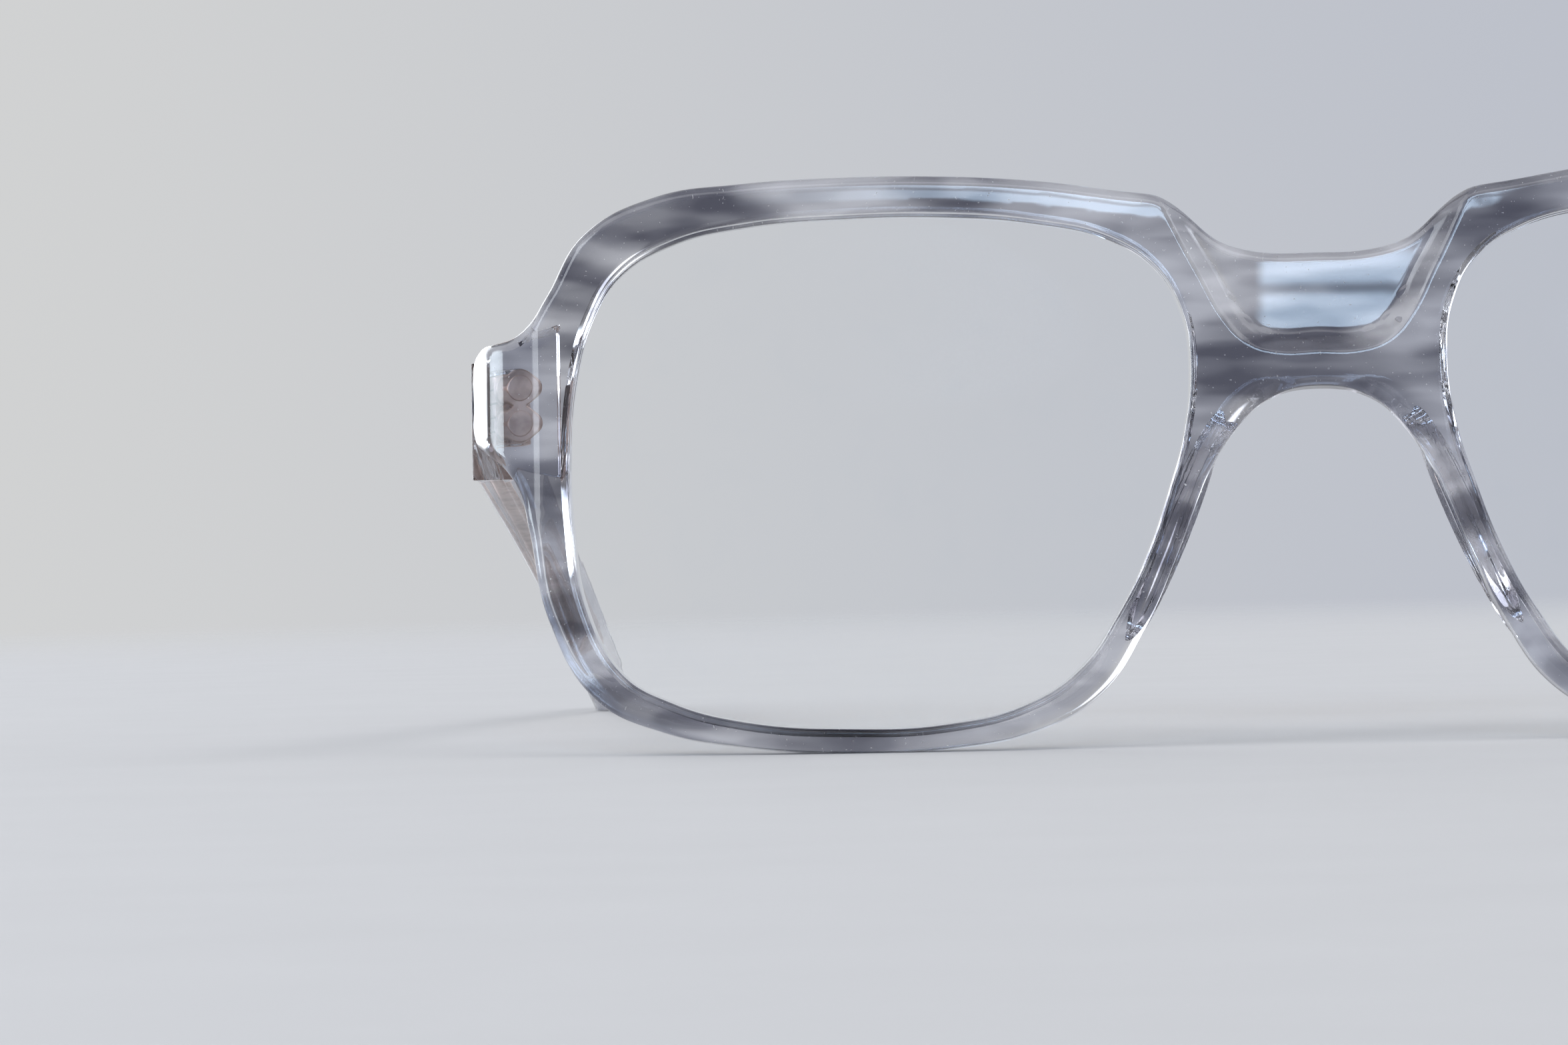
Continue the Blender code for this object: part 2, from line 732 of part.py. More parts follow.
def temple_thickness(along):
    return TEMPLE_THICKNESS + along * (TIP_THICKNESS - TEMPLE_THICKNESS)


def make_temple(side_name, collection, cutters, material):
    drop = temple_drop()
    upper = []
    lower = []
    for along, fall, height in TEMPLE_SHARES:
        back = BUTT + along * TEMPLE_LENGTH
        middle = TEMPLE_LEVEL - fall * drop
        upper.append((back, middle + height * TEMPLE_HEIGHT / 2))
        lower.append((back, middle - height * TEMPLE_HEIGHT / 2))
    butt = BUTT - OVERRUN
    first = [(butt, TEMPLE_LEVEL + TEMPLE_HEIGHT / 2)]
    tip = [(BUTT + TEMPLE_LENGTH, TEMPLE_LEVEL - drop)]
    last = [(butt, TEMPLE_LEVEL - TEMPLE_HEIGHT / 2)]
    points = first + upper + tip + lower[::-1] + last
    mesh = outline_mesh(
        "temple", [points], TEMPLE_THICKNESS, rounding=TEMPLE_ROUND, sharp=(0, len(points) - 1)
    )
    mesh.transform(Matrix.Rotation(math.pi / 2, 4, "Z"))
    cut_away(mesh, Vector((0, BUTT, 0)), Vector((0, -1, 0)))
    cut_flat(mesh)
    slice_along(mesh, Vector((0, 1, 0)), SLICE)
    for vert in mesh.vertices:
        along = (vert.co.y - BUTT) / TEMPLE_LENGTH
        thickness = temple_thickness(along)
        share = vert.co.x / TEMPLE_THICKNESS + 0.5
        vert.co.x = temple_inner(along) + share * thickness
    mirror_to(side_name, mesh)
    temple = add_mesh(f"temple_{side_name}", mesh, collection, material)
    pocket = plate_box(f"leaf_pocket_{side_name}", FIT_GAP, side_name, cutters)
    combine(temple, pocket, "DIFFERENCE", cutters)
    start = -OVERRUN / TEMPLE_LENGTH
    end = CORE_END_SHARE + FIT_GAP / TEMPLE_LENGTH
    channel = core_tube(side_name, CORE_RADIUS + FIT_GAP, start, end)
    combine(temple, add_mesh(f"core_channel_{side_name}", channel, cutters), "DIFFERENCE", cutters)
    return temple


def core_tube(side_name, radius, start, end):
    """A round bar that follows the temple's middle between two shares of its length."""
    drop = temple_drop()
    curve = bpy.data.curves.new("core", "CURVE")
    curve.dimensions = "3D"
    curve.bevel_depth = radius
    curve.bevel_resolution = 1
    curve.use_fill_caps = True
    spline = curve.splines.new("POLY")
    spline.points.add(CORE_POINTS - 1)
    for index, point in enumerate(spline.points):
        along = start + (end - start) * index / (CORE_POINTS - 1)
        across = temple_inner(along) + CORE_ACROSS_SHARE * temple_thickness(along)
        back = BUTT + along * TEMPLE_LENGTH
        level = TEMPLE_LEVEL - drop * drop_share(max(0.0, along))
        point.co = (across, back, level, 1)
    mesh = mesh_from_curve(curve)
    mirror_to(side_name, mesh)
    return mesh


def make_pad(side_name, collection, material):
    """A soft nose pad glued behind the rim: a flattened ball cut off at its glued face."""
    mesh = bpy.data.meshes.new("pad")
    base = face_curve(PAD_ACROSS) + FRONT_DEPTH + JOINT_GAP

    def shape(bm):
        bmesh.ops.create_uvsphere(bm, u_segments=20, v_segments=14, radius=1)
        size = Vector((PAD_WIDTH / 2, PAD_RISE, PAD_LENGTH / 2))
        bmesh.ops.scale(bm, vec=size, verts=bm.verts)

    edit(mesh, shape)
    cut_away(mesh, Vector((0, 0, 0)), Vector((0, -1, 0)))
    for vert in mesh.vertices:
        vert.co.x += vert.co.y * PAD_LEAN_SHARE
    mesh.transform(Matrix.Rotation(-PAD_TURN, 4, "Y"))
    mesh.transform(Matrix.Rotation(math.asin(PAD_ACROSS / FACE_CURVE), 4, "Z"))
    mesh.transform(Matrix.Translation((PAD_ACROSS, base, PAD_LEVEL)))
    mirror_to(side_name, mesh)
    return add_mesh(f"nose_pad_{side_name}", mesh, collection, material)


def move_origin(obj, point):
    obj.data.transform(Matrix.Translation(-point))
    obj.location = point


def centre(stance, objects):
    """Slides the stance along y until the whole is centred on the origin."""
    bpy.context.view_layer.update()
    graph = bpy.context.evaluated_depsgraph_get()
    places = []
    for obj in objects:
        seen = obj.evaluated_get(graph)
        mesh = seen.to_mesh()
        places += [(seen.matrix_world @ vert.co).y for vert in mesh.vertices]
        seen.to_mesh_clear()
    stance.location.y = -(min(places) + max(places)) / 2


def main():
    clear_scene()
    collection = new_collection("aviator_eyeglasses")
    cutters = new_collection("cutters")
    acetate = new_material("grey_acetate", (0.55, 0.55, 0.6), 0.08, transmission=0.9)
    clear = new_material("clear_acetate", (0.75, 0.74, 0.76), 0.08, transmission=0.95)
    glass = new_material("clear_lens", (0.97, 0.98, 0.98), 0.02, transmission=1.0)
    metal = new_material("nickel_silver", (0.62, 0.52, 0.46), 0.28, metallic=1.0)
    steel = new_material("screw_steel", (0.55, 0.55, 0.56), 0.25, metallic=1.0)

    stance = bpy.data.objects.new("stance", None)
    bpy.context.scene.collection.objects.link(stance)
    stance.rotation_euler = (-LEAN, 0, 0)
    stance.location = (0, 0, stance_rise())

    front = make_front(collection, cutters, acetate)
    fixed = [front]
    moving = []
    for side_name, side in SIDES.items():
        fixed.append(make_lens(side_name, collection, glass))
        fixed.append(make_pad(side_name, collection, clear))
        fixed.append(make_front_leaf(side_name, collection, cutters, metal))
        fixed.append(make_screw(side_name, collection, cutters, steel))
        temple = make_temple(side_name, collection, cutters, acetate)
        leaf = make_temple_leaf(side_name, collection, cutters, metal)
        core = core_tube(side_name, CORE_RADIUS, CORE_START_SHARE, CORE_END_SHARE)
        core = add_mesh(f"temple_core_{side_name}", core, collection, metal)
        axis = Vector((side * AXIS_ACROSS, AXIS_BACK, HINGE_LEVEL))
        for obj in (temple, leaf, core):
            move_origin(obj, axis)
            moving.append(obj)
    for obj in list(cutters.objects) + fixed + moving:
        obj.parent = stance
    centre(stance, fixed + moving)


main()
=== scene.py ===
# %% [markdown]
# # Aviator eyeglasses in smoky clear acetate
#
# Spectacle fronts of this kind are milled from a sheet of cellulose acetate and then
# tumbled in drums until every edge is soft and glossy. What sells them in a picture is
# light bent inside thick clear plastic, so this lesson spends its effort on smooth
# closed shapes, on a stripe that is deeper in some places than in others, and on a
# studio that has bright and dark parts for the plastic to bend.
#
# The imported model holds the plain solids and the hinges. It is loaded first, and each
# piece made below takes the place of one of its nodes and rides on the same body.

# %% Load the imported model
import math

import bmesh
import bpy
import numpy as np
from mathutils import Matrix, Vector
from mathutils.geometry import delaunay_2d_cdt
from mathutils.kdtree import KDTree


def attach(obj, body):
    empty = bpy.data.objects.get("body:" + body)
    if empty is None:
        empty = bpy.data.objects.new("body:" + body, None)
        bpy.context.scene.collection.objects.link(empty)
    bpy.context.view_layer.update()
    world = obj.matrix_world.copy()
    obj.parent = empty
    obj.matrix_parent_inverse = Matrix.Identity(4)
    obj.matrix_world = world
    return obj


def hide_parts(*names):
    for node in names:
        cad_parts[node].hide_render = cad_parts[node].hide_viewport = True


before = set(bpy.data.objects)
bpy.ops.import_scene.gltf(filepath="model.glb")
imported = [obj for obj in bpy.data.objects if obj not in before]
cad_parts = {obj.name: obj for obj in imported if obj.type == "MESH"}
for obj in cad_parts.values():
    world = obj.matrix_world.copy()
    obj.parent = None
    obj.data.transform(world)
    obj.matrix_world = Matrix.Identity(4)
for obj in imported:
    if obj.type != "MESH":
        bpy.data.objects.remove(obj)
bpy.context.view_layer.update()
MM = 0.001
print("nodes:", ", ".join(sorted(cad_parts)))

# %% [markdown]
# Three small helpers serve all that follows: one shows data in the scene, one keeps an
# object's final shape as a plain mesh, and one keeps a bmesh as a mesh.

# %% Helpers for objects and meshes
def placed(name, data):
    made = bpy.data.objects.new(name, data)
    bpy.context.scene.collection.objects.link(made)
    return made


def evaluated(holder):
    """The object's final shape as a plain mesh. The object itself is removed."""
    graph = bpy.context.evaluated_depsgraph_get()
    mesh = bpy.data.meshes.new_from_object(holder.evaluated_get(graph))
    bpy.data.objects.remove(holder)
    return mesh


def mesh_from(bm, name):
    mesh = bpy.data.meshes.new(name)
    bm.to_mesh(mesh)
    bm.free()
    return mesh


# %% [markdown]
# ## Camera
#
# The picture was taken from a little left of the bridge, just above the surface that
# the frame stands on, with a long lens. A camera that isn't turned looks straight down,
# so a quarter turn first makes it look along +Y, and then the roll, the tilt and the
# turn to the side follow.

# %% Place the camera
CAMERA_PLACE = Vector((-24.534, -466.066, 16.36)) * MM
CAMERA_SIDE = math.radians(2.96)
CAMERA_TILT = math.radians(0.452)
CAMERA_ROLL = math.radians(1.349)
LENS_LENGTH = 108.55
SENSOR_WIDTH = 36
NEAREST = 0.01
FARTHEST = 50

camera = placed("camera", bpy.data.cameras.new("camera"))
camera.data.lens = LENS_LENGTH
camera.data.sensor_width = SENSOR_WIDTH
camera.data.clip_start = NEAREST
camera.data.clip_end = FARTHEST
turn = Matrix.Rotation(CAMERA_SIDE, 4, "Z") @ Matrix.Rotation(CAMERA_TILT, 4, "X")
turn = turn @ Matrix.Rotation(CAMERA_ROLL, 4, "Y") @ Matrix.Rotation(math.pi / 2, 4, "X")
camera.matrix_world = Matrix.Translation(CAMERA_PLACE) @ turn
bpy.context.scene.camera = camera

# %% [markdown]
# ## The frame's own drawing
#
# A frame maker draws one rim flat, then mirrors it. The openings, the bridge, the flared
# ends and the hinge's place are kept here as a few lengths and as tables of shares of
# those lengths. Shares are easy to read: a point at (1, 0) lies at the opening's
# outermost edge, whatever its size. The drawing has x to the right, z up and y as depth.

# %% Lengths and tables of the drawing
LENS_WIDTH = 52.92 * MM
LENS_HEIGHT = 43.64 * MM
HALF_BRIDGE = 10.68 * MM
FRONT_DEPTH = 4.2 * MM
FACE_CURVE = 330 * MM
RIM_WIDTH = 4 * MM
BOTTOM_RIM = 1.95 * MM
BRIDGE_HEIGHT = 11.53 * MM
BRIDGE_TOP = 41.25 * MM
NOTCH_DEPTH = 7.9 * MM
END_REACH = 9.2 * MM
END_HEIGHT = 8 * MM
HINGE_LEVEL = 30.9 * MM
LENS_MIDDLE = HALF_BRIDGE + LENS_WIDTH / 2
LENS_LEVEL = BOTTOM_RIM + LENS_HEIGHT / 2
LENS_SIDE = HALF_BRIDGE + LENS_WIDTH
SIDES = {"left": -1, "right": 1}

# Across and up from the opening's middle, and the rim's width there in rim widths.
OPENING_SHARES = (
    (-1.000, 0.385, 0.0), (-0.977, 0.583, 0.0), (-0.899, 0.753, 0.0), (-0.760, 0.872, 1.02),
    (-0.518, 0.950, 0.83), (-0.233, 0.989, 0.79), (0.108, 1.000, 0.81), (0.412, 0.986, 0.86),
    (0.658, 0.930, 1.03), (0.830, 0.816, 1.14), (0.921, 0.648, 1.09), (0.974, 0.432, 0.0),
    (1.000, 0.156, 0.0), (0.995, -0.166, 0.94), (0.953, -0.496, 0.84), (0.834, -0.764, 0.78),
    (0.673, -0.881, 0.64), (0.447, -0.961, 0.51), (0.108, -1.000, 0.487),
    (-0.213, -0.991, 0.485), (-0.456, -0.925, 0.565), (-0.624, -0.800, 0.66),
    (-0.755, -0.583, 0.63), (-0.852, -0.349, 0.59), (-0.925, -0.104, 0.64),
    (-0.976, 0.109, 0.0),
)
BRIDGE_TOP_SHARES = ((0.0, 0.0), (0.469, 0.025), (0.767, 0.14), (0.973, 0.405), (1.179, 0.62))
NOSE_ARCH_SHARES = ((0.881, 0.621), (0.684, 0.335), (0.412, 0.095))
# Across in reaches of the end, and up from the hinge's level in half heights of the end.
END_SHARES = (
    (0.371, 1.65), (0.560, 1.37), (0.740, 1.33), (0.900, 1.30), (0.972, 1.13), (0.996, 0.78),
    (0.996, -0.34), (0.949, -0.74), (0.790, -1.08), (0.630, -1.40), (0.476, -1.975),
)

# %% [markdown]
# ## Smooth outlines
#
# A curve through the tables' points gives the outline. Blender's Bézier curves with
# automatic handles do this well, and the evaluated curve is a ring of close points,
# which is then spaced out evenly, because even points give clean strips of faces.

# %% Turn tables into even rings of points
def spread(points, spacing, closed=True):
    """The same line with even spacing."""
    path = np.vstack([points, points[:1]]) if closed else points
    lengths = np.concatenate([[0], np.cumsum(np.linalg.norm(np.diff(path, axis=0), axis=1))])
    count = max(3, round(lengths[-1] / spacing))
    places = np.linspace(0, lengths[-1], count + 1)
    even = np.column_stack([np.interp(places, lengths, path[:, axis]) for axis in (0, 1)])
    return even[:-1] if closed else even


def through(points, closed=True):
    """Close points along the smooth curve through a few flat points."""
    curve = bpy.data.curves.new("through", "CURVE")
    curve.dimensions = "3D"
    curve.resolution_u = 24
    spline = curve.splines.new("BEZIER")
    spline.bezier_points.add(len(points) - 1)
    for knot, point in zip(spline.bezier_points, points):
        knot.co = (point[0], point[1], 0)
        knot.handle_left_type = knot.handle_right_type = "AUTO"
    spline.use_cyclic_u = closed
    mesh = evaluated(placed("through", curve))
    found = np.array([vert.co[:2] for vert in mesh.vertices])
    bpy.data.curves.remove(curve)
    bpy.data.meshes.remove(mesh)
    return found


def opening_knots(side):
    return [
        (side * (LENS_MIDDLE + across * LENS_WIDTH / 2), LENS_LEVEL + up * LENS_HEIGHT / 2)
        for across, up, _ in OPENING_SHARES
    ]


def rim_knots():
    """Points on the rim's outer edge, by their place in the opening's table."""
    inner = [Vector(point) for point in opening_knots(1)]
    found = {}
    for index, (_, _, width) in enumerate(OPENING_SHARES):
        if width:
            along = inner[(index + 1) % len(inner)] - inner[index - 1]
            outward = Vector((-along.y, along.x)).normalized()
            found[index] = tuple(inner[index] + outward * width * RIM_WIDTH)
    return found


def front_knots():
    """The whole front's outer edge, from the middle of the bridge round to itself."""
    rim = rim_knots()
    half = [(a * HALF_BRIDGE, BRIDGE_TOP + b * NOTCH_DEPTH) for a, b in BRIDGE_TOP_SHARES]
    half += [rim[index] for index in sorted(rim) if OPENING_SHARES[index][1] > 0]
    half += [
        (LENS_SIDE + a * END_REACH, HINGE_LEVEL + b * END_HEIGHT / 2) for a, b in END_SHARES
    ]
    half += [rim[index] for index in sorted(rim) if OPENING_SHARES[index][1] < 0]
    arch = BRIDGE_TOP - BRIDGE_HEIGHT
    half += [(a * HALF_BRIDGE, arch - b * BRIDGE_HEIGHT) for a, b in NOSE_ARCH_SHARES]
    half.append((0.0, arch))
    return half + [(-x, z) for x, z in reversed(half[1:-1])]


EDGE_SPACING = 0.45 * MM
# The two shoulders beside the bridge are eased by averaging their points a few times.
SHOULDERS_WITHIN = 20 * MM
SHOULDERS_ABOVE = 41.5 * MM
EASING_ROUNDS = 14

front_edge = spread(through(front_knots()), EDGE_SPACING)
shoulder = np.abs(front_edge[:, 0]) < SHOULDERS_WITHIN
shoulder &= front_edge[:, 1] > SHOULDERS_ABOVE
for _ in range(EASING_ROUNDS):
    beside = np.roll(front_edge, 1, axis=0) + np.roll(front_edge, -1, axis=0)
    front_edge = np.where(shoulder[:, None], (beside + 2 * front_edge) / 4, front_edge)
openings = {
    name: spread(through(opening_knots(side)), EDGE_SPACING) for name, side in SIDES.items()
}
print("outer edge:", len(front_edge), "points; opening:", len(openings["left"]), "points")

# %% [markdown]
# ## A plate with soft edges
#
# The front, the temples, the lenses and the hinge's flat pieces are all plates: a flat
# outline with some depth, which differs from place to place. A subdivided box would need
# much hand work at every corner. Here the rings along each edge follow a profile, such
# as a quarter round or a groove, and the two broad faces are filled by a triangulation
# that is given the edge rings and a field of loose points. Each broad face has its own
# depth function, so that a hollow or a step is only a formula.

# %% Helpers for plates
# A corner's points move in by at most one over this, so that a ring keeps its width there.
CORNER_LIMIT = 0.6
# The shares of the thickness that an edge's rounding may take.
FRONT_SHARE = 0.35
BACK_SHARE = 0.55
# Rings just beyond the rounding, in radii, which keep the faces beside it flat.
FRONT_BEYOND = 1.1
BACK_BEYOND = 1.05
# Field points lie in even triangles, and keep off rings and off rows of extra points.
ROW_SHARE = 0.866
FENCE_SHARE = 0.4
OFF_RING_SHARE = 0.5
OFF_ROW_SHARE = 0.6
ROW_CLEARANCE = 0.12 * MM
WELD = 0.002 * MM
SLIVER = 0.001 * MM
# The triangulation works in millimetres and takes points nearer than this as one.
SAME_POINT = 1e-6


def normals_of(points, outer):
    """Unit vectors at the ring's points that look into the material."""
    ahead = np.roll(points, -1, axis=0) - points
    behind = points - np.roll(points, 1, axis=0)
    ahead /= np.linalg.norm(ahead, axis=1)[:, None]
    behind /= np.linalg.norm(behind, axis=1)[:, None]
    along = ahead + behind
    along /= np.linalg.norm(along, axis=1)[:, None]
    x, z = points.T
    area = np.sum(x * np.roll(z, -1) - np.roll(x, -1) * z) / 2
    left = np.column_stack([-along[:, 1], along[:, 0]])
    inward = left if area > 0 else -left
    corner = np.clip(np.sum(along * ahead, axis=1), CORNER_LIMIT, 1)
    return (inward if outer else -inward) / corner[:, None]


def inside(points, loops):
    """Whether each flat point lies in the material: within the first ring only."""
    crossings = np.zeros(len(points), int)
    for loop in loops:
        ends = np.roll(loop, -1, axis=0)
        for (x0, z0), (x1, z1) in zip(loop, ends):
            if z0 != z1:
                spans = (points[:, 1] >= min(z0, z1)) & (points[:, 1] < max(z0, z1))
                meets = x0 + (points[:, 1] - z0) * (x1 - x0) / (z1 - z0)
                crossings += spans & (meets > points[:, 0])
    return crossings % 2 == 1


def thinned(points, others, gap):
    """The points that keep their distance from the others."""
    tree = KDTree(len(others))
    for index, (x, z) in enumerate(others):
        tree.insert((x, z, 0), index)
    tree.balance()
    keep = [tree.find((x, z, 0))[2] > gap for x, z in points]
    return points[np.array(keep, bool)] if len(points) else points


def soft_max(a, b, width):
    share = np.clip(0.5 + (a - b) / (2 * width), 0, 1)
    return b + (a - b) * share + width * share * (1 - share)


def soft_min(a, b, width):
    return -soft_max(-a, -b, width)


def rounded(radius, middle=(), arcs=6, behind=None):
    """An edge's profile: a quarter round, whatever lies in the middle, and a second round."""
    angles = [math.pi / 2 * (1 - step / arcs) for step in range(arcs + 1)]
    quarter = [(1 - math.cos(a), 1 - math.sin(a)) for a in angles]

    def rings(points, inward, front, back):
        room = np.maximum(back(points) - front(points), 0)
        ahead = np.broadcast_to(radius, len(points))
        after = ahead if behind is None else behind
        found = []
        for inset, depth in [(FRONT_BEYOND, 0)] + quarter + [(0, FRONT_BEYOND)]:
            at = points + inward * (inset * ahead)[:, None]
            found.append((at, front(at) + depth * np.minimum(ahead, room * FRONT_SHARE)))
        for inset, depth in middle:
            at = points + inward * inset
            found.append((at, front(points) + depth))
        for inset, depth in [(0, BACK_BEYOND)] + quarter[::-1] + [(BACK_BEYOND, 0)]:
            at = points + inward * (inset * after)[:, None]
            found.append((at, back(at) - depth * np.minimum(after, room * BACK_SHARE)))
        return found

    return rings


def fence(ring, gap):
    """The ring with more points along its edges, so that none is farther apart than the gap."""
    ahead = np.roll(ring, -1, axis=0) - ring
    parts = math.ceil(np.linalg.norm(ahead, axis=1).max() / gap)
    shares = np.arange(parts) / parts
    return (ring[:, None] + ahead[:, None] * shares[None, :, None]).reshape(-1, 2)


def broad_face(first_rings, spacing, extra):
    """Triangles that fill the material between rings, and the loose points among them."""
    ring_points = np.vstack(first_rings)
    fences = np.vstack([fence(ring, spacing * FENCE_SHARE) for ring in first_rings])
    low, high = ring_points.min(0), ring_points.max(0)
    rows = np.arange(low[1], high[1], spacing * ROW_SHARE)
    field = []
    for index, z in enumerate(rows):
        xs = np.arange(low[0] + (index % 2) * spacing / 2, high[0], spacing)
        field.append(np.column_stack([xs, np.full(len(xs), z)]))
    field = np.vstack(field)
    loose = np.empty((0, 2))
    if len(extra):
        extra = extra[inside(extra, first_rings)]
        loose = thinned(extra, fences, ROW_CLEARANCE)
        field = thinned(field, loose, spacing * OFF_ROW_SHARE)
    field = field[inside(field, first_rings)]
    loose = np.vstack([loose, thinned(field, fences, spacing * OFF_RING_SHARE)])
    points = np.vstack([ring_points, loose])
    edges = []
    start = 0
    for ring in first_rings:
        count = len(ring)
        edges += [(start + i, start + (i + 1) % count) for i in range(count)]
        start += count
    scaled = [Vector((float(x), float(z))) for x, z in points / MM]
    verts, _, faces, origins, _, _ = delaunay_2d_cdt(scaled, edges, [], 0, SAME_POINT)
    verts = np.array([tuple(vert) for vert in verts]) * MM
    faces = np.array([tuple(face) for face in faces])
    faces = faces[inside(verts[faces].mean(axis=1), first_rings)]
    names = [min(origin) if origin else -1 for origin in origins]
    return verts, faces, names, len(ring_points)


def plate(name, loops, front, back, spacing, front_extra=(), back_extra=()):
    """A closed mesh between two depth functions. Each loop is a ring with its profile."""
    points, faces = [], []
    first, last = [], []
    first_ids, last_ids = [], []
    for order, (ring, profile) in enumerate(loops):
        inward = normals_of(ring, order == 0)
        layers = profile(ring, inward, front, back)
        count = len(ring)
        start = len(points)
        for flat, depth in layers:
            points += [(x, d, z) for (x, z), d in zip(flat, depth)]
        for layer in range(len(layers) - 1):
            a = start + layer * count
            b = a + count
            for i in range(count):
                j = (i + 1) % count
                faces.append((a + i, a + j, b + j, b + i))
        first.append(layers[0][0])
        last.append(layers[-1][0])
        first_ids += list(range(start, start + count))
        end = start + (len(layers) - 1) * count
        last_ids += list(range(end, end + count))
    for rings, ids, surface, extra in (
        (first, first_ids, front, front_extra),
        (last, last_ids, back, back_extra),
    ):
        verts, triangles, names, ring_count = broad_face(rings, spacing, extra)
        depths = surface(verts)
        here = []
        for (x, z), depth, origin in zip(verts, depths, names):
            if 0 <= origin < ring_count:
                here.append(ids[origin])
            else:
                here.append(len(points))
                points.append((x, depth, z))
        faces += [tuple(here[corner] for corner in triangle) for triangle in triangles]
    mesh = bpy.data.meshes.new(name)
    mesh.from_pydata(points, [], faces)
    return mesh


def finish_mesh(mesh, sharp=40):
    """Welds doubles, turns every face outwards and shades it smooth."""
    bm = bmesh.new()
    bm.from_mesh(mesh)
    bmesh.ops.remove_doubles(bm, verts=bm.verts, dist=WELD)
    bmesh.ops.dissolve_degenerate(bm, dist=SLIVER, edges=bm.edges)
    loose = [vert for vert in bm.verts if not vert.link_faces]
    bmesh.ops.delete(bm, geom=loose, context="VERTS")
    bmesh.ops.recalc_face_normals(bm, faces=bm.faces)
    bm.to_mesh(mesh)
    bm.free()
    mesh.shade_smooth()
    mesh.set_sharp_from_angle(angle=math.radians(sharp))
    return mesh


def open_edges(mesh):
    """Edges that don't join exactly two faces. A closed shape has none."""
    uses = np.zeros(len(mesh.edges), int)
    for loop in mesh.loops:
        uses[loop.edge_index] += 1
    return int(np.sum(uses != 2))


# %% [markdown]
# ## Standing on a surface
#
# The drawing is upright, but a pair of spectacles set down open stands on the rims'
# undersides and on the temple tips, and so leans back by a few degrees. Every piece is
# made upright first, because that keeps the formulas plain, and this one step then leans
# it, sets it down and cuts the tiny flats it stands on.

# %% Lean, set down and hand over a piece
LEAN = math.radians(5)
SET_BACK = 72.7868 * MM
SET_UP = 0.34878 * MM
STANCE = Matrix.Translation((0, -SET_BACK, SET_UP)) @ Matrix.Rotation(-LEAN, 4, "X")


def turned_over(mesh, matrix):
    """Applies a matrix that swaps or mirrors axes, and keeps the faces looking outwards."""
    mesh.transform(matrix)
    mesh.flip_normals()
    return mesh


def mirrored(mesh, side):
    return turned_over(mesh, Matrix.Diagonal((-1, 1, 1, 1))) if side < 0 else mesh


def volume(mesh):
    """What the mesh encloses, in cubic millimetres. It is negative for an inside-out mesh."""
    bm = bmesh.new()
    bm.from_mesh(mesh)
    found = bm.calc_volume(signed=True) / MM**3
    bm.free()
    return found


def hand_over(name, mesh, body, node, material):
    """Makes the mesh a finished piece in place of a node."""
    mesh.transform(STANCE)
    for vert in mesh.vertices:
        vert.co.z = max(vert.co.z, 0)
    mesh.name = name
    mesh.materials.clear()
    mesh.materials.append(material)
    piece = placed(name, mesh)
    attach(piece, body)
    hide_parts(node)
    sizes = f"{len(mesh.polygons)} faces, {volume(mesh):.1f} mm3"
    print(f"{name}: {sizes}, {open_edges(mesh)} open edges")


# %% [markdown]
# ## Shader sums
#
# Materials here are made of nodes, but long chains of Math nodes are hard to read. A
# small class wraps a socket, so that a sum in Python adds the nodes: `1 - mask` becomes
# a Subtract node. Every other node comes from one method, which sets the node's own
# settings first and then fills its sockets.

# %% A class for sums and one for finishes
class Sum:
    def __init__(self, finish, socket):
        self.finish = finish
        self.socket = socket

    def math(self, operation, first, second):
        values = {0: first, 1: second}
        return self.finish.node("ShaderNodeMath", {"operation": operation}, values)["Value"]

    def __add__(self, other):
        return self.math("ADD", self, other)

    def __radd__(self, other):
        return self.math("ADD", other, self)

    def __rsub__(self, other):
        return self.math("SUBTRACT", other, self)

    def __mul__(self, other):
        return self.math("MULTIPLY", self, other)

    def rise(self, low, high):
        """0 below low, 1 above high, and a soft step between."""
        values = {"Value": self, "From Min": low, "From Max": high}
        settings = {"interpolation_type": "SMOOTHSTEP"}
        return self.finish.node("ShaderNodeMapRange", settings, values)["Result"]

    def band(self, low, high, soft):
        """1 between low and high, with soft ends."""
        return self.rise(low - soft, low + soft) * (1 - self.rise(high - soft, high + soft))


